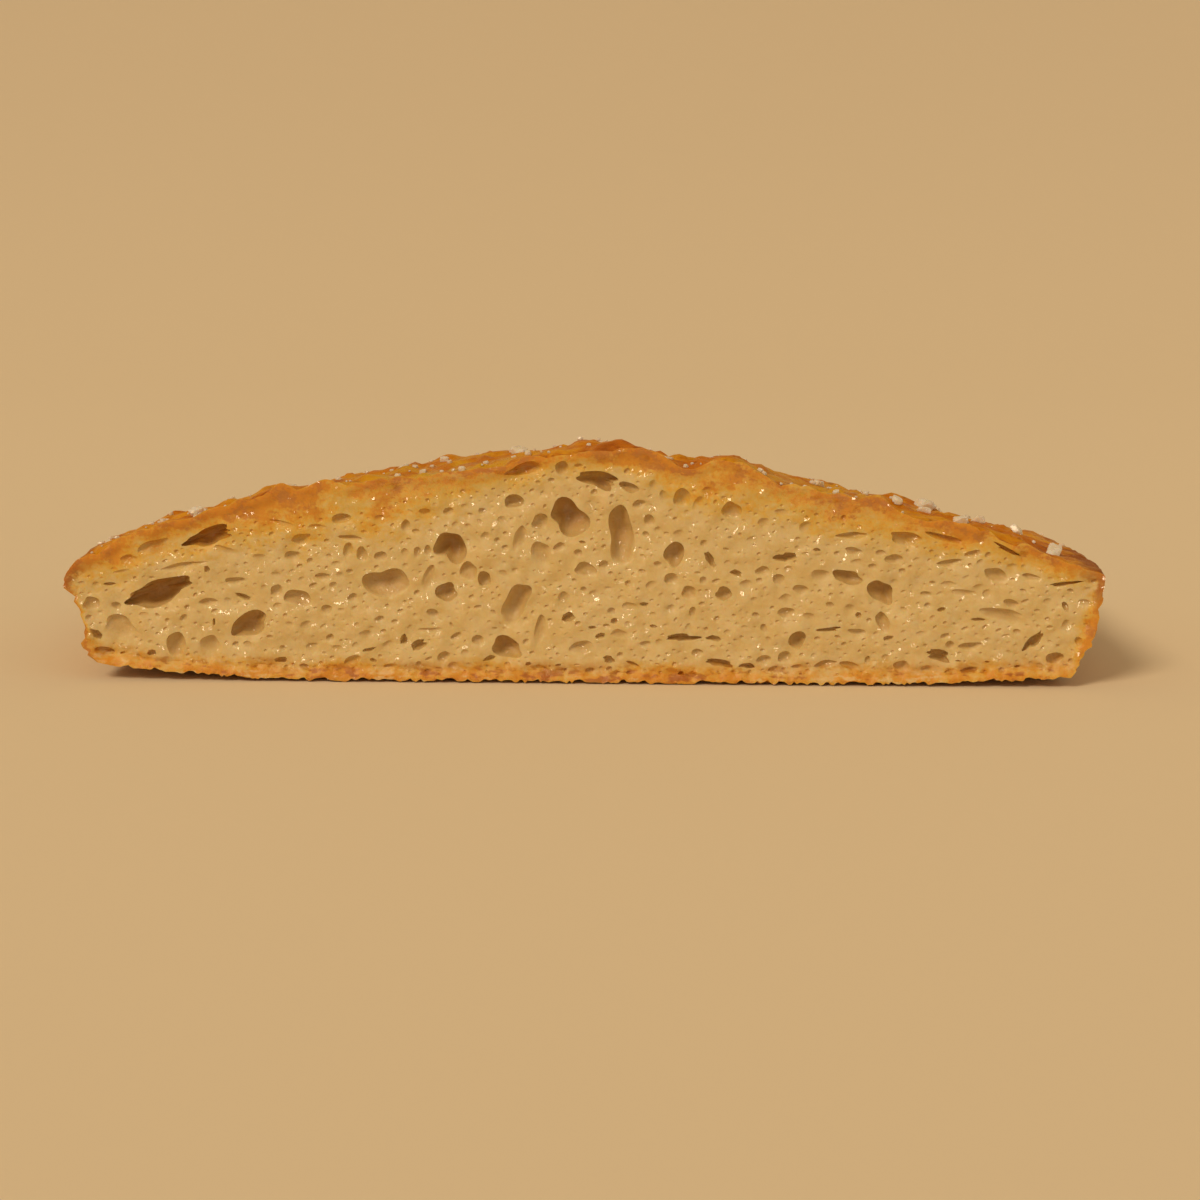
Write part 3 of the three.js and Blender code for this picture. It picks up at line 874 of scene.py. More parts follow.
RIGHT_BUBBLES = (
    (23.5, 15.0, 2.5, 1.1, T, 0), (25.8, 15.4, 1.1, 0.6, D, 0), (27.1, 15.9, 0.9, 0.5, T, -15),
    (20.9, 13.4, 1.7, 1.1, R, 0), (22.8, 12.4, 1.5, 1.3, R, 20), (19.6, 17.1, 1.2, 0.7, D, 20),
    (25.3, 11.2, 1.9, 1.2, R, -12), (23.6, 10.1, 1.7, 1.2, D, 10), (23.7, 8.5, 2.2, 1.2, R, 0),
    (21.0, 19.0, 1.5, 1.2, D, 25), (25.8, 18.5, 1.6, 1.4, D, 25), (23.0, 20.2, 1.6, 0.9, D, 0),
    (31.1, 17.6, 3.7, 0.8, R, 4), (31.3, 15.8, 2.1, 0.9, R, -8), (34.4, 15.6, 1.3, 0.8, R, -10),
    (35.9, 14.9, 2.0, 1.3, R, 0), (31.7, 14.5, 1.6, 0.8, D, 0), (33.5, 14.0, 1.2, 0.7, R, 0),
    (36.9, 13.5, 0.9, 0.8, R, 0), (30.7, 12.7, 3.4, 1.7, P, -6), (27.6, 12.8, 2.3, 1.7, D, 0),
    (34.5, 11.0, 3.2, 2.5, P, -50), (34.9, 7.4, 1.4, 3.0, R, 30), (35.5, 5.6, 1.3, 0.6, T, 12),
    (32.0, 8.3, 0.8, 0.7, T, 0), (28.7, 9.5, 1.1, 0.8, R, -20), (28.6, 6.6, 2.4, 0.6, T, 8),
    (31.9, 6.3, 2.2, 0.8, R, -10), (25.0, 5.3, 2.0, 2.2, P, -30), (21.2, 6.6, 0.9, 1.2, R, 25),
    (18.9, 6.8, 0.9, 0.6, D, 0), (23.6, 3.2, 1.6, 1.5, R, 30), (21.2, 2.9, 1.7, 1.2, R, 0),
    (28.3, 2.4, 2.6, 1.0, R, 6), (31.1, 2.3, 2.5, 1.0, R, -6), (33.2, 2.9, 0.8, 1.1, R, 0),
    (37.1, 2.3, 1.9, 1.3, R, 0), (41.3, 3.6, 3.2, 1.2, T, -18), (42.6, 2.4, 1.6, 1.2, R, 0),
    (42.2, 14.5, 2.8, 0.9, R, 4), (39.7, 10.8, 1.5, 0.7, R, -8), (42.2, 12.0, 1.9, 0.8, D, 0),
    (44.0, 11.0, 3.4, 0.8, D, -8), (41.5, 9.0, 1.0, 0.6, T, 20), (40.5, 8.0, 0.9, 0.8, D, 0),
    (45.7, 7.9, 1.6, 0.5, T, 0), (42.0, 5.9, 1.3, 0.7, R, 15), (37.2, 17.3, 4.0, 1.5, R, -15),
    (41.6, 17.4, 3.9, 0.9, R, -16), (44.9, 15.6, 1.9, 0.9, R, 14), (48.8, 16.1, 3.4, 0.5, T, -25),
    (47.6, 13.1, 3.0, 1.5, R, -22), (51.6, 12.9, 2.0, 0.8, R, -8), (55.5, 12.2, 2.9, 0.6, T, 8),
    (53.4, 12.2, 1.7, 0.4, T, -28), (45.6, 11.7, 1.6, 0.8, D, 10), (49.4, 9.8, 2.0, 1.0, R, -24),
    (51.0, 10.1, 1.7, 0.7, R, 16), (48.5, 8.4, 5.6, 1.6, D, -8), (55.6, 9.5, 0.8, 1.2, T, 20),
    (52.4, 9.0, 0.8, 0.5, R, 0), (55.7, 7.2, 1.0, 1.6, D, -15), (53.9, 7.1, 0.8, 0.6, R, 0),
    (52.1, 5.4, 3.0, 1.1, T, 48), (54.6, 3.4, 1.9, 1.6, P, 0), (44.9, 4.7, 2.7, 1.0, R, 8),
    (44.9, 1.9, 2.0, 0.7, R, 5), (48.6, 1.9, 1.0, 0.7, R, 0), (48.9, 6.0, 1.2, 0.5, D, 15),
    (57.3, 5.4, 1.0, 1.2, R, 20),
)


@dataclass(frozen=True)
class PitKind:
    """Small bubbles that are strewn: how wide, how flat and how tilted they come."""

    first_seed: int
    narrow: float  # width of the narrowest
    extra: float  # how much wider the widest is
    rarity: float  # the higher, the fewer wide ones there are
    flatness: tuple[float, float]  # height as a share of width, least and most
    sway: float | None  # how far it tilts, in degrees, or any way
    cavities: tuple[Cavity, ...]

    def make(self, spot: Array, seed: int, share: float = 1.0) -> Bubble:
        """One pit at a place, at a share of its size."""
        rng = np.random.default_rng(seed + self.first_seed)
        wide = (self.narrow + self.extra * rng.random() ** self.rarity) * share
        cavity = self.cavities[rng.integers(len(self.cavities)) if len(self.cavities) > 1 else 0]
        high = wide * rng.uniform(*self.flatness)
        tilt = rng.uniform(0, 180) if self.sway is None else rng.normal(0, self.sway)
        return Bubble(spot[0], spot[1], wide, high, cavity, tilt, seed)


WALL_PIT = PitKind(9000, 0.35, 1.1, 2, (0.45, 0.9), 15, (R,))  # steam against the tin's side
BASE_PIT = PitKind(12000, 0.5, 2.4, 3, (0.55, 0.95), None, (D,))  # steam against its bottom
CRUMB_PIT = PitKind(3000, 0.42, 1.3, 2.2, (0.5, 0.95), 22, (D, D, R, R))
BASE_TEAR = PitKind(6000, 0.6, 1.3, 1, (0.3, 0.6), 10, (R, T, T))  # flat, just above the base crust


# --- The half loaf ----------------------------------------------------------------------------------


@dataclass
class HalfLoaf:
    """The baked body: top crust, wall, base and cut face, sewn into one closed skin."""

    form: LoafForm = field(default_factory=LoafForm)
    edge_step: float = 0.32  # between points along the cut's edge
    rim_step: float = 0.55  # between points along the rim
    top_step: float = 0.66  # between the even points of each sheet, as in the next three
    wall_step: float = 0.8
    base_step: float = 1.3
    face_step: float = 0.42
    pore_step: float = 0.46  # between the points of a pore's rim
    pit_step: float = 0.55  # between the points of a base pit's rim
    wall_height: float = 12.0  # height of the wall's own sheet before it is fitted
    wall_skin: float = 0.55  # least dough between a pore and the wall's edge
    base_skin: float = 1.0  # likewise for a pit of the base
    face_skin: float = 0.32  # likewise for a bubble of the cut face
    pores: int = 64  # the wall's larger pores
    wall_tries: int = 2800  # how many small pits are dropped on each sheet; many find no room
    base_tries: int = 700
    tear_tries: int = 1500
    crumb_tries: int = 13000
    tear_band: float = 2.6  # height above the base in which flat tears lie
    soft_face: tuple[Lumps, ...] = (Lumps(0.24, 3.6, 31), Lumps(0.2, 1.5, 32), Lumps(0.09, 0.75, 33))
    seed: int = 20

    def __post_init__(self) -> None:
        """Prepares the relief and the empty skin."""
        self.relief = CrustRelief(self.form)
        self.skin = SewnSkin()

    # Surfaces, each a function of two parameters.

    def top_surface(self, plan: Array) -> Array:
        """The top crust over plan points: dome plus relief, turned down a quarter at the rim.

        Within one lip radius of the plan's outline, a point is carried outwards along the lip's arc
        and dropped by the same arc, so that the outline's own points lie half way round the lip.
        """
        form = self.form
        distance, out = form.inward(plan)
        lip = form.lip(plan)
        turn = math.pi / 4 * np.clip(1 - distance / lip, 0, 1)
        moved = np.where(distance < lip, lip * (1 - np.sin(turn)) - distance, 0.0)
        height = form.top(plan) + self.relief.top(plan) - lip * (1 - np.cos(turn))
        return np.column_stack([plan - out * moved[:, None], height])

    def wall_surface(self, s: Array, w: Array, depth: Array | float = 0.0) -> Array:
        """The baked wall at a distance along the rim and down the wall.

        Args:
            s: Distance along the rim.
            w: Distance down the wall's sheet, from 0 at the lip to the wall's height at the base.
            depth: How far inside the wall.

        Returns:
            Places as (n, 3).
        """
        form = self.form
        plan, out = form.rim(s)
        share = w / self.wall_height
        lip = form.lip(plan)
        high = form.top(plan) + self.relief.top(plan)
        low = form.base(plan[:, 0])
        below = share * (high - low)
        turn = math.pi / 4 * (1 - np.clip(below / lip, 0, 1))
        drop = np.maximum(lip * (1 - np.sin(turn)), below)
        inset = lip * (1 - np.cos(turn)) + form.flare * share**form.flare_curve
        z = high - drop
        places = np.column_stack([plan - out * inset[:, None], z])
        stand = self.relief.wall(places) * ramp(share, 0.0, 0.3)
        stand += self.end_lip(plan, share)
        places[:, :2] += out * (stand - depth)[:, None]
        places[:, 2] += self.relief.ragged_base(places) * ramp(share, 0.86, 1.0)
        places[:, 2] = np.maximum(places[:, 2], 0.0)
        return places

    def end_lip(self, plan: Array, share: Array) -> Array:
        """A step under the left end's lip, where the dough ran over the tin."""
        left = ramp(-plan[:, 0], self.form.half - 6, self.form.half - 1) * (1 - ramp(plan[:, 1], 8, 30))
        return -1.0 * left * ramp(share, 0.24, 0.36) * (1 - ramp(share, 0.5, 0.9))

    def base_surface(self, plan: Array) -> Array:
        """The base crust over plan points: the curled base with a shallow cast of the tin."""
        height = self.form.base(plan[:, 0])
        distance = self.form.inward(plan)[0] - self.form.flare
        cast = 0.16 * (swell(plan, 3.1, 21) + 1) + 0.1 * (swell(plan, 1.2, 22) + 1)
        return np.column_stack([plan, height + cast * ramp(distance, 0.2, 2.5)])

    # Sewing.

    def sew(self) -> SewnSkin:
        """Builds the shared edges, then each sheet between them."""
        form = self.form
        along = np.linspace(-form.half, form.half, round(form.length / self.edge_step) + 1)
        front_top = self.top_surface(np.column_stack([along, np.zeros(len(along))]))
        s = np.linspace(0, form.rim_length(), round(form.rim_length() / self.rim_step) + 1)
        rim_top = self.top_surface(form.rim(s)[0])
        rim_base = self.wall_surface(s, np.full(len(s), self.wall_height))
        down = np.linspace(0, self.wall_height, round(self.wall_height / self.edge_step) + 1)
        left = self.wall_surface(np.zeros(len(down)), down)
        right = self.wall_surface(np.full(len(down), form.rim_length()), down)
        low_x = np.linspace(left[-1, 0], right[-1, 0], len(along))
        front_base = np.column_stack([low_x, np.zeros(len(along)), form.base(low_x)])
        front_base[:, 2] += self.relief.ragged_base(front_base)
        ids = self.edge_ids(front_top, rim_top, rim_base, left, right, front_base)
        self.add_top(along, s, ids)
        self.add_wall(s, down, ids)
        self.add_base(ids)
        self.add_face(ids)
        return self.skin

    def edge_ids(
        self, front_top: Array, rim_top: Array, rim_base: Array, left: Array, right: Array, front_base: Array
    ) -> dict[str, Array]:
        """Adds every shared edge once, corners included once.

        Args:
            front_top: The cut's upper edge, left to right.
            rim_top: The rim, from the left end of the cut round to its right end.
            rim_base: The foot of the wall, likewise.
            left: The cut's left edge, downwards.
            right: The cut's right edge, downwards.
            front_base: The cut's lower edge, left to right.

        Returns:
            The points' indices along each edge, by the edge's name.
        """
        drag = self.drag
        burnt = self.form.scorched
        rim_top_ids = self.skin.add_points(drag(rim_top, rim=True), wall=0.5, scorch=burnt(rim_top))
        rim_base_ids = self.skin.add_points(drag(rim_base, rim=True), wall=1.0, base=0.5)
        inner_top = self.skin.add_points(drag(front_top[1:-1]), scorch=burnt(front_top[1:-1]))
        inner_base = self.skin.add_points(drag(front_base[1:-1]), wall=1.0, base=0.8)
        inner_left = self.skin.add_points(drag(left[1:-1]), wall=1.0, scorch=burnt(left[1:-1]))
        inner_right = self.skin.add_points(drag(right[1:-1]), wall=1.0, scorch=burnt(right[1:-1]))
        ends = {"left": (rim_top_ids[0], rim_base_ids[0]), "right": (rim_top_ids[-1], rim_base_ids[-1])}
        return {
            "rim_top": rim_top_ids,
            "rim_base": rim_base_ids,
            "front_top": np.concatenate([[ends["left"][0]], inner_top, [ends["right"][0]]]),
            "front_base": np.concatenate([[ends["left"][1]], inner_base, [ends["right"][1]]]),
            "left": np.concatenate([[ends["left"][0]], inner_left, [ends["left"][1]]]),
            "right": np.concatenate([[ends["right"][0]], inner_right, [ends["right"][1]]]),
        }

    def drag(self, points: Array, rim: bool = False) -> Array:
        """Points of the cut's edge, dragged a little by the knife; other rim points stay."""
        moved = points.copy()
        on_cut = points[:, 1] < 0.01 if rim else np.ones(len(points), bool)
        moved[on_cut, 1] += np.abs(self.relief.cut_edge(points[on_cut]))
        return moved

    def gathered(self) -> Array:
        """Every point added so far."""
        return np.vstack(self.skin.points)

    def add_sheet(self, sheet: SheetMesh, edge: Array, places: Array, part: Part, **masks: Array) -> None:
        """Adds a sheet whose outline points are already in the skin.

        Args:
            sheet: The cut sheet.
            edge: Indices of its outline's points.
            places: Where its other points are, as (n, 3).
            part: Its finish.
            **masks: Masks of its other points.
        """
        ids = np.concatenate([edge, self.skin.add_points(places, **masks)])
        self.skin.add_triangles(ids[sheet.triangles], part)

    def add_top(self, along: Array, s: Array, ids: dict[str, Array]) -> None:
        """The top crust, between the cut's upper edge and the rim."""
        plan_front = np.column_stack([along, np.zeros(len(along))])
        plan_rim = self.form.rim(s)[0][::-1]
        outline = np.vstack([plan_front, plan_rim[1:-1]])
        edge = np.concatenate([ids["front_top"], ids["rim_top"][::-1][1:-1]])
        sheet = Sheet(outline, [], self.top_step).cut()
        plan = sheet.places[len(outline) :]
        oil = self.form.pressed(plan, oily=True)
        rim = 0.5 * (1 - ramp(self.form.inward(plan)[0], 0.0, 7.0))
        places = self.top_surface(plan)
        masks = {"oil": np.clip(oil, 0, 1), "wall": rim, "scorch": self.form.scorched(places)}
        self.add_sheet(sheet, edge, places, Part.CRUST, **masks)

    def add_wall(self, s: Array, down: Array, ids: dict[str, Array]) -> None:
        """The baked wall, with the flattened pores that opened against the tin."""
        high = self.wall_height
        outline = np.vstack(
            [
                np.column_stack([s, np.zeros(len(s))]),
                np.column_stack([np.full(len(down), s[-1]), down])[1:],
                np.column_stack([s[::-1], np.full(len(s), high)])[1:],
                np.column_stack([np.zeros(len(down)), down[::-1]])[1:-1],
            ]
        )
        edge = np.concatenate(
            [ids["rim_top"], ids["right"][1:], ids["rim_base"][::-1][1:], ids["left"][::-1][1:-1]]
        )
        rng = np.random.default_rng(self.seed)
        pores = BubbleField(outline, self.wall_skin, gap=0.14)
        pores.settle(self.wall_pores(rng))
        pores.strew(self.wall_tries, rng, self.wall_pit)
        sheet = Sheet(outline, pores.placed, self.wall_step, self.pore_step).cut()
        own = slice(len(outline), None)
        places = self.wall_surface(sheet.places[own, 0], sheet.places[own, 1], sheet.depth[own])
        share = ramp(sheet.places[own, 1] / high, 0.0, 0.25)
        masks = {
            "wall": 0.5 + 0.5 * share,
            # painted shade inside the pores
            "hollow": sheet.hollow[own],
            "base": 0.8 * ramp(sheet.places[own, 1] / high, 0.8, 1.0),
            "scorch": self.form.scorched(places),
        }
        self.add_sheet(sheet, edge, places, Part.CRUST, **masks)
        LOG.info("wall: %d pores", len(pores.placed))

    def wall_pores(self, rng: np.random.Generator) -> list[Bubble]:
        """The wall's larger pores, lying along the wall in its lower two thirds."""
        count = self.pores
        s = rng.uniform(3, self.form.rim_length() - 3, count)
        w = self.wall_height * rng.uniform(0.42, 0.9, count)
        wide = rng.uniform(1.0, 3.2, count)
        high = wide * rng.uniform(0.35, 0.7, count)
        kinds = rng.choice(np.array([D, R, R, P], object), count)
        tilt = rng.normal(0, 9, count)
        return [
            Bubble(s[k], w[k], wide[k], high[k], kinds[k], tilt[k], seed=400 + k) for k in range(count)
        ]

    def wall_pit(self, spot: Array, seed: int) -> Bubble:
        """A small pit of the wall, smaller towards the lip, where the crust is tight."""
        loose = ramp(spot[1:] / self.wall_height, 0.25, 0.75)[0]
        return WALL_PIT.make(spot, seed, 0.4 + 0.6 * loose)

    def add_base(self, ids: dict[str, Array]) -> None:
        """The base crust, between the cut's lower edge and the foot of the wall."""
        edge = np.concatenate([ids["front_base"], ids["rim_base"][::-1][1:-1]])
        outline = self.gathered()[edge][:, :2]
        pits = BubbleField(outline, self.base_skin, gap=0.3)
        pits.strew(self.base_tries, np.random.default_rng(self.seed + 2), BASE_PIT.make)
        sheet = Sheet(outline, pits.placed, self.base_step, self.pit_step).cut()
        own = slice(len(outline), None)
        places = self.base_surface(sheet.places[own])
        places[:, 2] += sheet.depth[own]
        sheet.triangles = sheet.triangles[:, ::-1]
        # hollow carries painted shade inside the pits
        self.add_sheet(sheet, edge, places, Part.CRUST, base=1.0, wall=1.0, hollow=sheet.hollow[own])
        LOG.info("base: %d pits", len(pits.placed))

    def add_face(self, ids: dict[str, Array]) -> None:
        """The cut face of open crumb, between the four edges of the cut."""
        edge = np.concatenate(
            [ids["front_base"], ids["right"][::-1][1:], ids["front_top"][::-1][1:], ids["left"][1:-1]]
        )
        outline = self.gathered()[edge][:, [0, 2]]
        crumb = BubbleField(outline, self.face_skin)
        rows = [*LEFT_BUBBLES, *MIDDLE_BUBBLES, *RIGHT_BUBBLES]
        crumb.settle([Bubble(*row, seed=k) for k, row in enumerate(rows)])
        by_hand = len(crumb.placed)
        rng = np.random.default_rng(self.seed + 1)
        crumb.strew(self.tear_tries, rng, BASE_TEAR.make, self.in_tear_band)
        crumb.strew(self.crumb_tries, rng, CRUMB_PIT.make, lambda spots: self.form.baked_share(spots) > 0.7)
        sheet = Sheet(outline, crumb.placed, self.face_step).cut()
        own = slice(len(outline), None)
        spots, depth, hollow = sheet.places[own], sheet.depth[own], sheet.hollow[own]
        skin = nearest_distance(spots, outline)
        sag = self.face_relief(spots, crumb.placed) * ramp(skin, 0.0, 1.5)
        places = np.column_stack([spots[:, 0], np.maximum(depth + sag, 0.0), spots[:, 1]])
        oil = self.form.pressed(np.column_stack([spots[:, 0], np.zeros(len(spots))]), oily=True)
        near = 1 - ramp(self.form.crown(spots[:, 0]) - spots[:, 1], 1.5, 6.0)
        above = spots[:, 1] - self.form.base(spots[:, 0])
        masks = {
            "skin": np.clip(self.form.baked_share(spots), 0, 3),
            # painted shade inside the bubbles
            "hollow": hollow,
            "oil": np.clip(oil * near, 0, 1),
            "base": 1 - ramp(above, 0.5, 3.2),
            "scorch": self.form.scorched(places),
        }
        self.add_sheet(sheet, edge, places, Part.CRUMB, **masks)
        LOG.info("cut face: %d bubbles placed, %d strewn", by_hand, len(crumb.placed) - by_hand)

    def face_relief(self, spots: Array, bubbles: Sequence[Bubble]) -> Array:
        """How far the cut crumb lies behind the knife's plane.

        Soft swells cover the face. It sags towards the soft side of each larger bubble, and it breaks
        into thin flakes that lie along the loaf just above the base crust.

        Args:
            spots: Places on the face (n, 2).
            bubbles: The face's bubbles.

        Returns:
            The depth behind the knife's plane, as (n,).
        """
        sag = layered(self.soft_face, spots) + sum(layer.height for layer in self.soft_face)
        for bubble in bubbles:
            if bubble.wide * bubble.high > 0.8:
                sag += bubble.sag(spots)
        above = spots[:, 1] - self.form.base(spots[:, 0])
        flakes = np.abs(swell(spots, (2.6, 0.55), 34)) + 0.7 * np.abs(swell(spots, (0.9, 0.4), 35))
        return sag + 0.6 * flakes * (1 - ramp(above, 0.8, 2.4))

    def in_tear_band(self, spots: Array) -> Array:
        """Whether places on the cut face are low enough for a flat tear."""
        return spots[:, 1] - self.form.base(spots[:, 0]) < self.tear_band

    def build(self, crust: bpy.types.Material, crumb: bpy.types.Material) -> None:
        """Makes the half loaf's piece, riding on the root in place of the plain solid.

        Args:
            crust: Finish of the crust, wall and base.
            crumb: Finish of the cut face.
        """
        skin = self.sew()
        skin.points = [self.form.centred(points) for points in skin.points]
        piece = new_piece("half_loaf", skin.mesh("half_loaf"), crust, crumb)
        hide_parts("focaccia_half")
        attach(piece, "root")
        LOG.info("half_loaf: %d triangles", len(piece.data.polygons))


# --- Salt -------------------------------------------------------------------------------------------


@dataclass(frozen=True)
class CrystalForm:
    """A salt crystal: the space inside a few flat facets, sampled over a sphere of directions.

    In each direction the surface is where the nearest facet's plane is met, so the shape is a
    chipped block with slightly worn edges.
    """

    meridians: int
    parallels: int
    chips: int

    def directions(self) -> Array:
        """Unit directions: the south pole, the rings, and the north pole."""
        lift = np.linspace(-math.pi / 2, math.pi / 2, self.parallels + 2)[1:-1]
        turn = np.arange(self.meridians) * TURN / self.meridians
        level, around = np.meshgrid(lift, turn, indexing="ij")
        ring = np.stack([np.cos(level) * np.cos(around), np.cos(level) * np.sin(around), np.sin(level)], -1)
        return np.vstack([[0, 0, -1], ring.reshape(-1, 3), [0, 0, 1]])

    def triangles(self) -> Array:
        """Triangles over the directions, facing out."""
        m = self.meridians
        around = np.arange(m)
        following = (around + 1) % m
        faces = [np.column_stack([np.zeros(m, int), 1 + following, 1 + around])]
        for k in range(self.parallels - 1):
            low, high = 1 + k * m, 1 + (k + 1) * m
            faces.append(np.column_stack([low + around, low + following, high + following]))
            faces.append(np.column_stack([low + around, high + following, high + around]))
        top, last = 1 + self.parallels * m, 1 + (self.parallels - 1) * m
        faces.append(np.column_stack([last + around, last + following, np.full(m, top)]))
        return np.vstack(faces)

    def points(self, halves: Array, rng: np.random.Generator) -> Array:
        """Points of one crystal about its centre, for its half sizes each way."""
        rays = self.directions()
        blocks = np.vstack([np.eye(3), -np.eye(3)])
        tilt = rng.normal(0, 0.1, blocks.shape)
        corners = rng.choice([-1.0, 1.0], (self.chips, 3)) * rng.uniform(0.35, 1.0, (self.chips, 3))
        normals = np.vstack([blocks + tilt, corners])
        normals /= np.linalg.norm(normals, axis=1, keepdims=True)
        reach = np.concatenate([rng.uniform(0.85, 1.0, 6), rng.uniform(0.95, 1.25, self.chips)])
        facing = rays @ normals.T
        met = np.where(facing > 0.05, reach / np.maximum(facing, 0.05), np.inf).min(1)
        return rays * np.minimum(met, 1.6)[:, None] * halves


def upright(normal: Array, turn: Array) -> Array:
    """Axes that lie along a surface: columns across, along and out of it, turned about the normal.

    Args:
        normal: Unit normals (n, 3).
        turn: Angle about each normal (n,).

    Returns:
        Rotation matrices (n, 3, 3).
    """
    side = np.cross(normal, np.array([0.0, 1.0, 0.0]))
    side /= np.linalg.norm(side, axis=1, keepdims=True)
    front = np.cross(normal, side)
    across = side * np.cos(turn)[:, None] + front * np.sin(turn)[:, None]
    return np.stack([across, np.cross(normal, across), normal], axis=2)


@dataclass
class Salt:
    """The salt on the crust: coarse crystals, one for each solid of the frame, and finer grains."""

    loaf: HalfLoaf
    solids: Sequence[str]  # names of the frame's crystals
    coarse: CrystalForm = field(default_factory=lambda: CrystalForm(18, 11, 7))
    fine: CrystalForm = field(default_factory=lambda: CrystalForm(6, 3, 3))
    sunk: float = 0.28  # share of a crystal's half height that is baked into the crust
    grains: int = 420
    reach: float = 0.6  # how far each way the crust's slope is taken
    seed: int = 5

    def seat(self, plan: Array) -> tuple[Array, Array]:
        """Where plan points lie on the finished crust, and the crust's normal there."""
        surface = self.loaf.top_surface
        along, behind = np.array([self.reach, 0.0]), np.array([0.0, self.reach])
        east = surface(plan + along) - surface(plan - along)
        north = surface(plan + behind) - surface(plan - behind)
        normal = np.cross(east, north)
        return surface(plan), normal / np.linalg.norm(normal, axis=1, keepdims=True)

    def bedded(self, local: Array, axes: Array, spot: Array, normal: Array, half_height: float) -> Array:
        """A crystal's own points, laid along the crust at a spot and sunk a little into it.

        Args:
            local: Points about its centre (n, 3).
            axes: Its axes as columns (3, 3).
            spot: Where it lies on the crust.
            normal: The crust's normal there.
            half_height: Half its height.

        Returns:
            The points on the loaf (n, 3).
        """
        return local @ axes.T + spot + normal * half_height * (1 - 2 * self.sunk)

    def add_piece(
        self, name: str, places: Array, triangles: Array, finish: bpy.types.Material
    ) -> bpy.types.Object:
        """A piece of salt from points counted from the cut."""
        mesh = new_mesh(name, self.loaf.form.centred(places) * METRES, triangles)
        mesh.set_sharp_from_angle(angle=FACET_CREASE)
        piece = new_piece(name, mesh, finish)
        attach(piece, "root")
        return piece

    def build_coarse(self, finish: bpy.types.Material) -> None:
        """One chipped crystal in place of each of the frame's salt solids, bedded in the crust."""
        for k, name in enumerate(self.solids):
            low, high = (np.array(corner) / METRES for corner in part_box(name))
            rng = np.random.default_rng(self.seed * 1000 + k)
            middle = (low + high) / 2
            plan = np.array([[middle[0], middle[1] + self.loaf.form.depth / 2]])
            spot, normal = self.seat(plan)
            wide = 0.5 * float(np.mean((high - low)[:2])) * 0.92
            halves = np.array([wide, wide * rng.uniform(0.65, 0.95), wide * rng.uniform(0.45, 0.7)])
            axes = upright(normal, rng.uniform(0, TURN, 1))[0]
            local = self.coarse.points(halves, rng)
            lean = rng.normal(0, 0.16, 2)
            local[:, 2] += local[:, 0] * lean[0] + local[:, 1] * lean[1]
            places = self.bedded(local, axes, spot[0], normal[0], halves[2])
            piece = self.add_piece(f"{name}_grain", places, self.coarse.triangles(), finish)
            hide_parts(name)
        LOG.info("coarse salt: %d crystals", len(self.solids))

    def build_fine(self, finish: bpy.types.Material) -> None:
        """The finer grains, strewn in loose drifts over the top crust."""
        form = self.loaf.form
        rng = np.random.default_rng(self.seed)
        plan = rng.uniform([-form.half + 2, 0.6], [form.half - 2, form.depth - 3], (self.grains * 5, 2))
        drift = ramp(swell(plan, 9.0, 41), -0.35, 0.75) + 0.12
        keep = (rng.random(len(plan)) < drift) & (form.inward(plan)[0] > 2.5)
        plan = plan[keep][: self.grains]
        spot, normal = self.seat(plan)
        axes = upright(normal, rng.uniform(0, TURN, len(plan)))
        size = 0.13 + 0.34 * rng.random(len(plan)) ** 2
        parts = []
        for k in range(len(plan)):
            halves = size[k] * rng.uniform([0.8, 0.6, 0.45], [1.2, 1.0, 0.8])
            parts.append(self.bedded(self.fine.points(halves, rng), axes[k], spot[k], normal[k], halves[2]))
        firsts = np.arange(len(plan)) * len(self.fine.directions())
        faces = firsts[:, None, None] + self.fine.triangles()[None]
        self.add_piece("fine_salt", np.vstack(parts), faces.reshape(-1, 3), finish)
        LOG.info("fine_salt: %d grains", len(plan))


# --- Finishes ---------------------------------------------------------------------------------------

Socket = bpy.types.NodeSocket


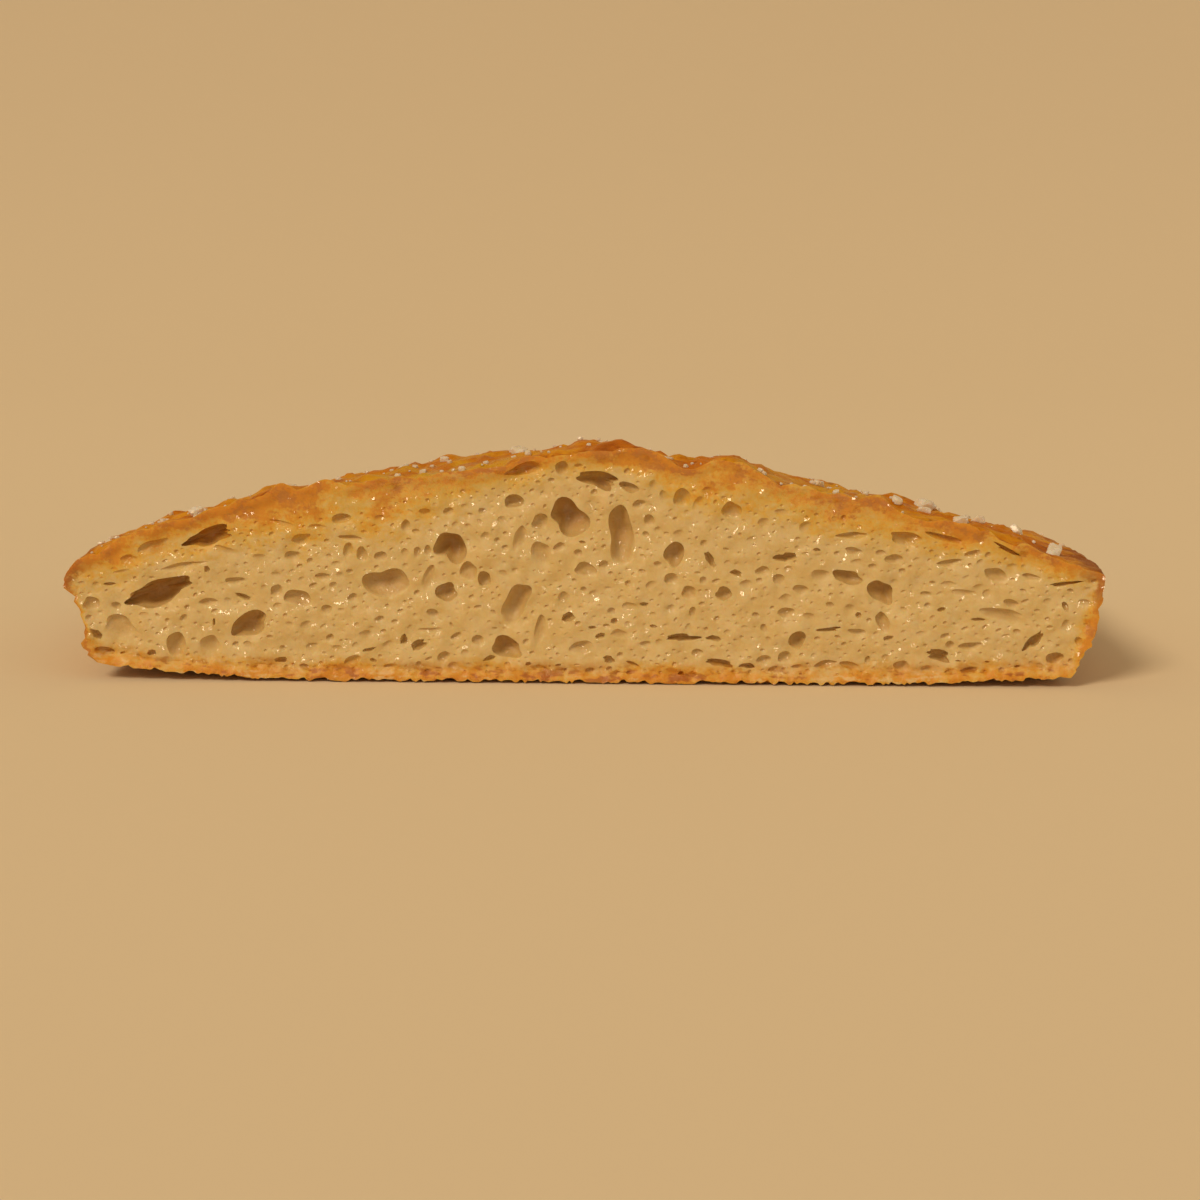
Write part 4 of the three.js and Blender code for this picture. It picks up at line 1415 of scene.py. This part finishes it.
@dataclass
class NodeSheet:
    """A node tree being laid out, with short ways to add and join nodes."""

    tree: bpy.types.NodeTree

    def node(self, kind: str, **settings: object) -> bpy.types.Node:
        """Adds a node and sets its own properties."""
        made = self.tree.nodes.new(kind)
        for name, value in settings.items():
            setattr(made, name, value)
        return made

    def join(self, source: Socket, target: Socket) -> None:
        """Links two sockets."""
        self.tree.links.new(source, target)

    def put(self, target: Socket, value: object) -> None:
        """Links a socket to a target, or sets the target's plain value."""
        if isinstance(value, bpy.types.NodeSocket):
            self.join(value, target)
        else:
            target.default_value = value

    def maths(self, operation: str, *values: object, clamp: bool = False) -> Socket:
        """One step of arithmetic on sockets or numbers."""
        made = self.node("ShaderNodeMath", operation=operation, use_clamp=clamp)
        for socket, value in zip(made.inputs, values, strict=False):
            self.put(socket, value)
        return made.outputs[0]

    def times(self, value: Socket, by: object) -> Socket:
        """A socket multiplied by another, or by a number."""
        return self.maths("MULTIPLY", value, by)

    def total(self, *parts: Socket) -> Socket:
        """Several sockets added together."""
        return reduce(lambda so_far, part: self.maths("ADD", so_far, part), parts)

    def place(self) -> Socket:
        """The place on the object, in metres."""
        return self.node("ShaderNodeTexCoord").outputs["Object"]

    def masks(self, *names: str) -> list[Socket]:
        """Masks of the mesh, by name."""
        return [self.node("ShaderNodeAttribute", attribute_name=name).outputs["Fac"] for name in names]

    def stretch(self, value: object, low: float, high: float, start: float = 0.0, end: float = 1.0) -> Socket:
        """Carries low..high smoothly to start..end."""
        made = self.node("ShaderNodeMapRange", interpolation_type="SMOOTHSTEP")
        for socket, given in zip(made.inputs, (value, low, high, start, end), strict=False):
            self.put(socket, given)
        return made.outputs[0]

    def blend(self, share: object, first: object, second: object) -> Socket:
        """Mixes two colours by a share."""
        made = self.node("ShaderNodeMix", data_type="RGBA")
        self.put(made.inputs["Factor"], share)
        for socket, given in zip((made.inputs[6], made.inputs[7]), (first, second), strict=True):
            self.put(socket, (*given, 1.0) if isinstance(given, tuple) else given)
        return made.outputs[2]

    def noise(self, where: Socket, scale: object, detail: float = 3.0, rough: float = 0.55) -> Socket:
        """A cloudy pattern, about one lump for each 1 / scale metres."""
        made = self.node("ShaderNodeTexNoise")
        self.join(where, made.inputs["Vector"])
        self.put(made.inputs["Scale"], scale)
        set_values(made, {"Detail": detail, "Roughness": rough})
        return made.outputs["Fac"]

    def bump(self, height: Socket, strength: float, distance: float, target: Socket) -> None:
        """Turns a height of this distance in metres into the normal of a shader's socket."""
        made = self.node("ShaderNodeBump")
        set_values(made, {"Strength": strength, "Distance": distance})
        self.join(height, made.inputs["Height"])
        self.join(made.outputs["Normal"], target)


def set_values(node: bpy.types.Node, values: dict[str, object]) -> None:
    """Sets plain values on a node's inputs."""
    for label, value in values.items():
        node.inputs[label].default_value = value


def new_finish(name: str) -> tuple[bpy.types.Material, NodeSheet, bpy.types.Node]:
    """A new material, the sheet of its nodes, and its shader."""
    material = bpy.data.materials.new(name)
    material.use_nodes = True
    return material, NodeSheet(material.node_tree), material.node_tree.nodes["Principled BSDF"]


def group_tree(name: str, inputs: dict[str, float], outputs: Sequence[str]) -> NodeSheet:
    """An empty shader node group.

    Args:
        name: The group's name.
        inputs: Its number inputs with their usual values.
        outputs: Its number outputs.

    Returns:
        The group, ready for its nodes.
    """
    tree = bpy.data.node_groups.new(name, "ShaderNodeTree")
    for label, value in inputs.items():
        socket = tree.interface.new_socket(label, in_out="INPUT", socket_type="NodeSocketFloat")
        socket.default_value = value
    for label in outputs:
        tree.interface.new_socket(label, in_out="OUTPUT", socket_type="NodeSocketFloat")
    return NodeSheet(tree)


@dataclass(frozen=True)
class DoughGrain:
    """A group shared by crust and crumb: a mottle for colour, and a fine grain and beads for height."""

    name: str = "dough_grain"
    detail: float = 3.0
    bead_detail: float = 0.6  # low, so that the beads of oil stay smooth
    rough: float = 0.5
    finer: tuple[float, float] = (3.7, 2.9)  # how much finer the second cloud of mottle and grain is

    def build(self) -> bpy.types.NodeTree:
        """Makes the group: two sizes of cloud for the mottle, two for the grain and one for the beads."""
        sizes = {"Mottle": 160.0, "Grain": 1400.0, "Bead": 650.0, "Stretch": 1.0}
        sheet = group_tree(self.name, sizes, ("Mottle", "Grain", "Bead"))
        given = sheet.node("NodeGroupInput").outputs
        result = sheet.node("NodeGroupOutput").inputs
        apart = sheet.node("ShaderNodeSeparateXYZ")
        sheet.join(sheet.place(), apart.inputs[0])
        drawn = sheet.node("ShaderNodeCombineXYZ")
        sheet.join(sheet.maths("DIVIDE", apart.outputs["X"], given["Stretch"]), drawn.inputs["X"])
        for axis in ("Y", "Z"):
            sheet.join(apart.outputs[axis], drawn.inputs[axis])
        where = drawn.outputs[0]
        weights = {"Mottle": (0.62, 0.38), "Grain": (0.65, 0.35)}
        for (label, (most, rest)), finer in zip(weights.items(), self.finer, strict=True):
            coarse = sheet.noise(where, given[label], self.detail, self.rough)
            fine = sheet.noise(where, sheet.times(given[label], finer), self.detail, self.rough)
            sheet.join(sheet.total(sheet.times(coarse, most), sheet.times(fine, rest)), result[label])
        sheet.join(sheet.noise(where, given["Bead"], self.bead_detail, self.rough), result["Bead"])
        return sheet.tree


def placed_group(sheet: NodeSheet, group: bpy.types.NodeTree, **values: float) -> bpy.types.Node:
    """A group node in a material, with its own values."""
    made = sheet.node("ShaderNodeGroup", node_tree=group)
    set_values(made, values)
    return made


@dataclass(frozen=True)
class CrustFinish:
    """Oiled golden crust: mottled from gold to red-brown, duller and paler on wall and base."""

    grain: bpy.types.NodeTree
    gold: Colour = (0.72, 0.34, 0.018)
    amber: Colour = (0.60, 0.19, 0.006)
    brown: Colour = (0.27, 0.062, 0.004)
    oil: Colour = (0.66, 0.42, 0.022)
    ochre: Colour = (0.62, 0.33, 0.06)
    # painted shade inside the pores of the wall and the pits of the base
    pore_shade: Colour = (0.36, 0.13, 0.016)
    base_brown: Colour = (0.46, 0.17, 0.025)
    patches: float = 55.0  # broad patches to the metre
    specks: float = 620.0  # dark specks to the metre

    def build(self) -> bpy.types.Material:
        """Makes the crust's material."""
        material, sheet, shader = new_finish("crust")
        dough = placed_group(sheet, self.grain, Mottle=210.0, Grain=1500.0, Stretch=1.5).outputs
        mottle, grain = dough["Mottle"], dough["Grain"]
        broad = sheet.noise(sheet.place(), self.patches, 2.0)
        sheet.join(self.colour(sheet, mottle, broad), shader.inputs["Base Color"])
        self.gloss(sheet, shader, grain, broad)
        sheet.bump(dough["Bead"], 1.0, 0.0012, shader.inputs["Coat Normal"])
        sheet.bump(sheet.total(grain, sheet.times(mottle, 0.8)), 0.75, 0.0004, shader.inputs["Normal"])
        return material

    def colour(self, sheet: NodeSheet, mottle: Socket, broad: Socket) -> Socket:
        """Gold mottled with amber, then browner, oilier or paler by where it is on the loaf, with painted
        shade in pores and pits.
        """
        wall, oil, hollow, base, scorch = sheet.masks("wall", "oil", "hollow", "base", "scorch")
        colour = sheet.blend(sheet.stretch(mottle, 0.40, 0.58), self.gold, self.amber)
        # Brown patches, likelier along the rim and at the scorched corners.
        rim = sheet.stretch(sheet.maths("ABSOLUTE", sheet.maths("SUBTRACT", wall, 0.5)), 0.0, 0.42, 0.11, 0.0)
        scorched = sheet.times(scorch, 0.12)
        patchy = sheet.total(sheet.times(mottle, 0.6), sheet.times(broad, 0.4), rim, scorched)
        colour = sheet.blend(sheet.stretch(patchy, 0.5, 0.72, 0.0, 0.9), colour, self.brown)
        # Small dark specks all over.
        speck = sheet.noise(sheet.place(), self.specks, 2.0, 0.6)
        colour = sheet.blend(sheet.stretch(speck, 0.6, 0.72, 0.0, 0.6), colour, self.brown)
        # Oil that lies in the presses.
        oiled = sheet.times(oil, sheet.stretch(mottle, 0.42, 0.6, 0.75, 0.1))
        colour = sheet.blend(oiled, colour, self.oil)
        # The wall, painted shade in the pores and pits, and the base.
        ochre = sheet.blend(sheet.stretch(mottle, 0.42, 0.72), self.ochre, self.amber)
        colour = sheet.blend(sheet.stretch(wall, 0.62, 1.0, 0.0, 0.9), colour, ochre)
        colour = sheet.blend(sheet.stretch(hollow, 0.1, 0.75, 0.0, 0.8), colour, self.pore_shade)
        tanned = sheet.times(base, sheet.stretch(patchy, 0.4, 0.6, 0.25, 0.9))
        return sheet.blend(tanned, colour, self.base_brown)

    @staticmethod
    def gloss(sheet: NodeSheet, shader: bpy.types.Node, grain: Socket, broad: Socket) -> None:
        """A thin coat of oil in patches, over dough that lets a little light in."""
        wall, oil = sheet.masks("wall", "oil")
        dry_wall = sheet.stretch(wall, 0.5, 1.0, 0.0, 0.2)
        dull = sheet.total(sheet.stretch(grain, 0.35, 0.68, 0.3, 0.52), dry_wall)
        sheet.join(sheet.maths("SUBTRACT", dull, sheet.times(oil, 0.14)), shader.inputs["Roughness"])
        shine = sheet.total(sheet.stretch(broad, 0.48, 0.6, 0.0, 0.2), sheet.times(oil, 0.3))
        shine = sheet.times(shine, sheet.stretch(wall, 0.6, 1.0, 1.0, 0.2))
        sheet.join(shine, shader.inputs["Coat Weight"])
        set_values(
            shader,
            {
                "Coat Roughness": 0.16,
                "Coat IOR": 1.7,
                "Specular IOR Level": 0.05,
                "Subsurface Weight": 0.12,
                "Subsurface Radius": (1.0, 0.42, 0.16),
                "Subsurface Scale": 0.0012,
            },
        )


@dataclass(frozen=True)
class CrumbFinish:
    """Moist cream crumb that turns gold and then brown in the last millimetres under the crust, with painted
    shade inside its bubbles.
    """

    grain: bpy.types.NodeTree
    cream: Colour = (0.735, 0.55, 0.24)
    pale: Colour = (0.79, 0.62, 0.31)
    # shade and deep are painted shade inside the bubbles, deep where they go farthest in
    shade: Colour = (0.63, 0.43, 0.17)
    deep: Colour = (0.46, 0.22, 0.05)
    gold: Colour = (0.76, 0.51, 0.11)
    oil: Colour = (0.72, 0.50, 0.07)
    amber: Colour = (0.78, 0.43, 0.045)
    baked: Colour = (0.72, 0.31, 0.024)
    # rust-brown of the crust's edge, the flakes' gaps and the scorched corners, and painted shade inside
    # bubbles near the crust
    rust_and_shade: Colour = (0.40, 0.12, 0.014)
    flake: Colour = (0.80, 0.56, 0.26)
    wandering: float = 150.0  # waves of the baked band's edge to the metre

    def build(self) -> bpy.types.Material:
        """Makes the crumb's material."""
        material, sheet, shader = new_finish("crumb")
        dough = placed_group(sheet, self.grain, Mottle=420.0, Grain=2400.0, Stretch=1.0).outputs
        flaky = placed_group(sheet, self.grain, Mottle=520.0, Grain=2400.0, Stretch=2.2).outputs["Mottle"]
        mottle, grain = dough["Mottle"], dough["Grain"]
        hollow, scorch, skin = sheet.masks("hollow", "scorch", "skin")
        colour = self.open_crumb(sheet, mottle, hollow)
        colour = self.under_crust(sheet, colour, mottle, grain, flaky)
        colour = self.over_base(sheet, colour, mottle, flaky)
        # Bubbles within the baked bands are darker brown inside, baked colour with painted shade over it, and
        # the thin corners are scorched.
        colour = sheet.blend(sheet.times(hollow, sheet.stretch(skin, 0.5, 1.7, 0.75, 0.0)), colour, self.rust_and_shade)
        skin_edge = sheet.total(skin, sheet.stretch(mottle, 0.4, 0.6, -0.3, 0.3))
        thin = sheet.stretch(skin_edge, 0.3, 1.0, 0.85, 0.05)
        colour = sheet.blend(sheet.times(scorch, thin), colour, self.rust_and_shade)
        sheet.join(colour, shader.inputs["Base Color"])
        self.gloss(sheet, shader, mottle, grain)
        sheet.bump(dough["Bead"], 1.0, 0.0016, shader.inputs["Coat Normal"])
        sheet.bump(sheet.total(grain, sheet.times(mottle, 0.9)), 0.5, 0.00022, shader.inputs["Normal"])
        return material

    def open_crumb(self, sheet: NodeSheet, mottle: Socket, hollow: Socket) -> Socket:
        """Cream mottled with a paler tone, with painted shade that darkens a bubble the farther in it goes.
        """
        colour = sheet.blend(sheet.stretch(mottle, 0.38, 0.64), self.cream, self.pale)
        colour = sheet.blend(sheet.stretch(hollow, 0.06, 0.42, 0.0, 0.85), colour, self.shade)
        return sheet.blend(sheet.stretch(hollow, 0.52, 1.02, 0.0, 0.9), colour, self.deep)

    def under_crust(
        self, sheet: NodeSheet, colour: Socket, mottle: Socket, grain: Socket, flaky: Socket
    ) -> Socket:
        """The band under the crust: gold, oily, amber, baked and rust, the nearer the crust.

        Args:
            sheet: The material's nodes.
            colour: Colour of the open crumb.
            mottle: The crumb's mottle.
            grain: Its grain.
            flaky: A mottle drawn out along the loaf.

        Returns:
            The colour with the band laid over it. The band's edge wanders with the patterns.
        """
        skin, oil = sheet.masks("skin", "oil")
        depth = sheet.total(
            skin,
            sheet.stretch(sheet.noise(sheet.place(), self.wandering, 4.0), 0.3, 0.7, -0.42, 0.42),
            sheet.stretch(mottle, 0.34, 0.66, -0.16, 0.16),
            sheet.stretch(flaky, 0.36, 0.64, -0.3, 0.3),
            sheet.stretch(grain, 0.36, 0.64, -0.16, 0.16),
        )
        colour = sheet.blend(sheet.stretch(depth, 0.6, 1.7, 0.92, 0.0), colour, self.gold)
        colour = sheet.blend(sheet.times(oil, 0.8), colour, self.oil)
        colour = sheet.blend(sheet.stretch(depth, 0.3, 1.05, 0.9, 0.0), colour, self.amber)
        colour = sheet.blend(sheet.stretch(depth, 0.05, 0.55, 0.9, 0.0), colour, self.baked)
        edge = sheet.times(sheet.stretch(depth, 0.0, 0.45, 0.45, 0.0), sheet.stretch(mottle, 0.44, 0.58))
        return sheet.blend(edge, colour, self.rust_and_shade)

    def over_base(self, sheet: NodeSheet, colour: Socket, mottle: Socket, flaky: Socket) -> Socket:
        """The band over the base: baked, with pale flakes and rusty gaps between them."""
        (base,) = sheet.masks("base")
        tanned = sheet.times(base, sheet.stretch(mottle, 0.4, 0.6, 0.8, 0.25))
        colour = sheet.blend(tanned, colour, self.baked)
        flakes = sheet.times(base, sheet.stretch(flaky, 0.55, 0.62, 0.0, 0.85))
        colour = sheet.blend(flakes, colour, self.flake)
        gaps = sheet.times(base, sheet.stretch(flaky, 0.4, 0.49, 0.85, 0.0))
        return sheet.blend(gaps, colour, self.rust_and_shade)

    @staticmethod
    def gloss(sheet: NodeSheet, shader: bpy.types.Node, mottle: Socket, grain: Socket) -> None:
        """A moist coat in patches, wettest where oil has soaked in and dry over the base."""
        oil, base = sheet.masks("oil", "base")
        dull = sheet.stretch(grain, 0.35, 0.65, 0.34, 0.56)
        sheet.join(sheet.maths("SUBTRACT", dull, sheet.times(oil, 0.2)), shader.inputs["Roughness"])
        moist = sheet.stretch(mottle, 0.46, 0.6, 0.12, 0.55)
        wet = sheet.maths("ADD", moist, sheet.times(oil, 0.6), clamp=True)
        sheet.join(sheet.times(wet, sheet.maths("SUBTRACT", 1.0, base)), shader.inputs["Coat Weight"])
        set_values(
            shader,
            {
                "Coat Roughness": 0.13,
                "Coat IOR": 1.9,
                "Subsurface Weight": 0.35,
                "Subsurface Radius": (1.0, 0.55, 0.22),
                "Subsurface Scale": 0.0016,
            },
        )


@dataclass(frozen=True)
class SaltFinish:
    """Clouded white crystal that lets some light through."""

    white: Colour = (0.98, 0.94, 0.86)
    cloud: Colour = (0.93, 0.83, 0.66)
    clouds: float = 1500.0  # clouds to the metre

    def build(self) -> bpy.types.Material:
        """Makes the salt's material."""
        material, sheet, shader = new_finish("salt")
        clouds = sheet.noise(sheet.place(), self.clouds)
        colour = sheet.blend(sheet.stretch(clouds, 0.35, 0.65), self.cloud, self.white)
        sheet.join(colour, shader.inputs["Base Color"])
        sheet.join(sheet.stretch(clouds, 0.3, 0.7, 0.12, 0.38), shader.inputs["Roughness"])
        set_values(
            shader,
            {
                "Transmission Weight": 0.15,
                "IOR": 1.54,
                "Subsurface Weight": 0.4,
                "Subsurface Radius": (1.0, 0.8, 0.55),
                "Subsurface Scale": 0.0008,
            },
        )
        sheet.bump(clouds, 0.3, 0.0001, shader.inputs["Normal"])
        return material


# --- Studio -----------------------------------------------------------------------------------------


@dataclass(frozen=True)
class SoftLight:
    """A broad, far light that falls evenly on the loaf and the floor."""

    name: str
    from_side: tuple[float, float, float]
    breadth: float  # degrees that it takes up in the sky
    power: float
    tint: Colour

    def hang(self) -> None:
        """Adds the light, shining from its side towards the origin."""
        lamp = bpy.data.lights.new(self.name, "SUN")
        lamp.angle = math.radians(self.breadth)
        lamp.energy, lamp.color = self.power, self.tint
        light = bpy.data.objects.new(self.name, lamp)
        bpy.context.scene.collection.objects.link(light)
        light.location = self.from_side
        light.rotation_euler = Vector(self.from_side).to_track_quat("Z", "Y").to_euler()


@dataclass
class Studio:
    """A pale floor, soft warm lamps and the camera."""

    floor_tone: Colour = (0.81, 0.715, 0.545)
    # far_shade_tone is painted shade on the floor and the sweep far behind the loaf
    far_shade_tone: Colour = (0.64, 0.55, 0.41)
    fade: tuple[float, float] = (0.05, 0.9)  # how far behind the loaf the painted shade on the floor begins and ends
    floor_rough: float = 0.9
    floor_gap: float = 0.00005  # between the floor and the base
    floor_reach: float = 6.0
    sweep_start: float = 0.25  # how far behind the loaf the floor starts to rise
    sweep_radius: float = 1.1
    sweep_steps: int = 32
    sky: Colour = (1.0, 0.79, 0.53)
    sky_strength: float = 0.35
    lamps: tuple[SoftLight, ...] = (
        SoftLight("key_light", (-0.44, -0.58, 0.68), 20.0, 1.5, (1.0, 0.76, 0.50)),
        SoftLight("fill_light", (0.75, -0.60, 0.45), 60.0, 0.2, (1.0, 0.78, 0.52)),
    )
    lens: float = 76.9
    azimuth: float = 2.0  # degrees to the right of square on to the cut
    pitch: float = 12.0  # degrees that the camera looks down
    stand: tuple[float, float, float] = (0.00145, -0.3121, 0.0713)  # where it stands before it turns
    sensor: float = 36.0
    clip: tuple[float, float] = (0.01, 100.0)

    def lay_floor(self) -> None:
        """A matt floor under the loaf that sweeps up far behind it, with painted shade darkening it towards
        the back.

        The floor is a strip along its profile: flat, then a quarter circle, then upright.
        """
        turn = np.linspace(0, math.pi / 2, self.sweep_steps)
        behind = self.sweep_start + self.sweep_radius * np.sin(turn)
        up = self.sweep_radius * (1 - np.cos(turn))
        profile_y = np.concatenate([[-self.floor_reach], behind, [behind[-1]]])
        profile_z = np.concatenate([[0.0], up, [self.floor_reach]]) - self.floor_gap
        left = np.column_stack([np.full(len(profile_y), -self.floor_reach), profile_y, profile_z])
        places = np.vstack([left, left * [-1, 1, 1]])
        k, n = np.arange(len(left) - 1), len(left)
        faces = np.vstack([np.column_stack([k, k + n, k + n + 1]), np.column_stack([k, k + n + 1, k + 1])])
        mesh = new_mesh("floor", places, faces)
        material, sheet, shader = new_finish("floor")
        apart = sheet.node("ShaderNodeSeparateXYZ")
        sheet.join(sheet.place(), apart.inputs[0])
        # Painted shade: the floor turns to a darker tone towards the back.
        away = sheet.stretch(apart.outputs["Y"], *self.fade)
        sheet.join(sheet.blend(away, self.floor_tone, self.far_shade_tone), shader.inputs["Base Color"])
        set_values(shader, {"Roughness": self.floor_rough})
        new_piece("floor", mesh, material)

    def light(self) -> None:
        """Hangs the lamps and sets the even light from all round."""
        for lamp in self.lamps:
            lamp.hang()
        world = bpy.data.worlds.new("room")
        world.use_nodes = True
        background = world.node_tree.nodes["Background"]
        set_values(background, {"Color": (*self.sky, 1.0), "Strength": self.sky_strength})
        bpy.context.scene.world = world

    def set_camera(self) -> None:
        """A long lens in front of the cut face, a little above it."""
        lens = bpy.data.cameras.new("camera")
        lens.lens, lens.sensor_width = self.lens, self.sensor
        lens.clip_start, lens.clip_end = self.clip
        camera = bpy.data.objects.new("camera", lens)
        bpy.context.scene.collection.objects.link(camera)
        turn = math.radians(self.azimuth)
        x, y, z = self.stand
        camera.location = (
            x * math.cos(turn) - y * math.sin(turn),
            x * math.sin(turn) + y * math.cos(turn),
            z,
        )
        camera.rotation_euler = (math.radians(90 - self.pitch), 0.0, turn)
        bpy.context.scene.camera = camera


# --- The whole --------------------------------------------------------------------------------------


def main() -> None:
    """Builds the half loaf, its salt and the studio on the frame."""
    logging.basicConfig(level=logging.INFO, format="%(name)s: %(message)s", stream=sys.stdout)
    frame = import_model()
    grain = DoughGrain().build()
    crust, crumb, salt = CrustFinish(grain).build(), CrumbFinish(grain).build(), SaltFinish().build()
    loaf = HalfLoaf()
    loaf.build(crust, crumb)
    toppings = Salt(loaf, sorted(name for name in frame["nodes"] if name.startswith("salt_crystal")))
    toppings.build_coarse(salt)
    toppings.build_fine(salt)
    studio = Studio()
    studio.lay_floor()
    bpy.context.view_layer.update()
    studio.light()
    studio.set_camera()
    bpy.context.scene.view_settings.view_transform = "Standard"


if __name__ == "__main__":
    main()
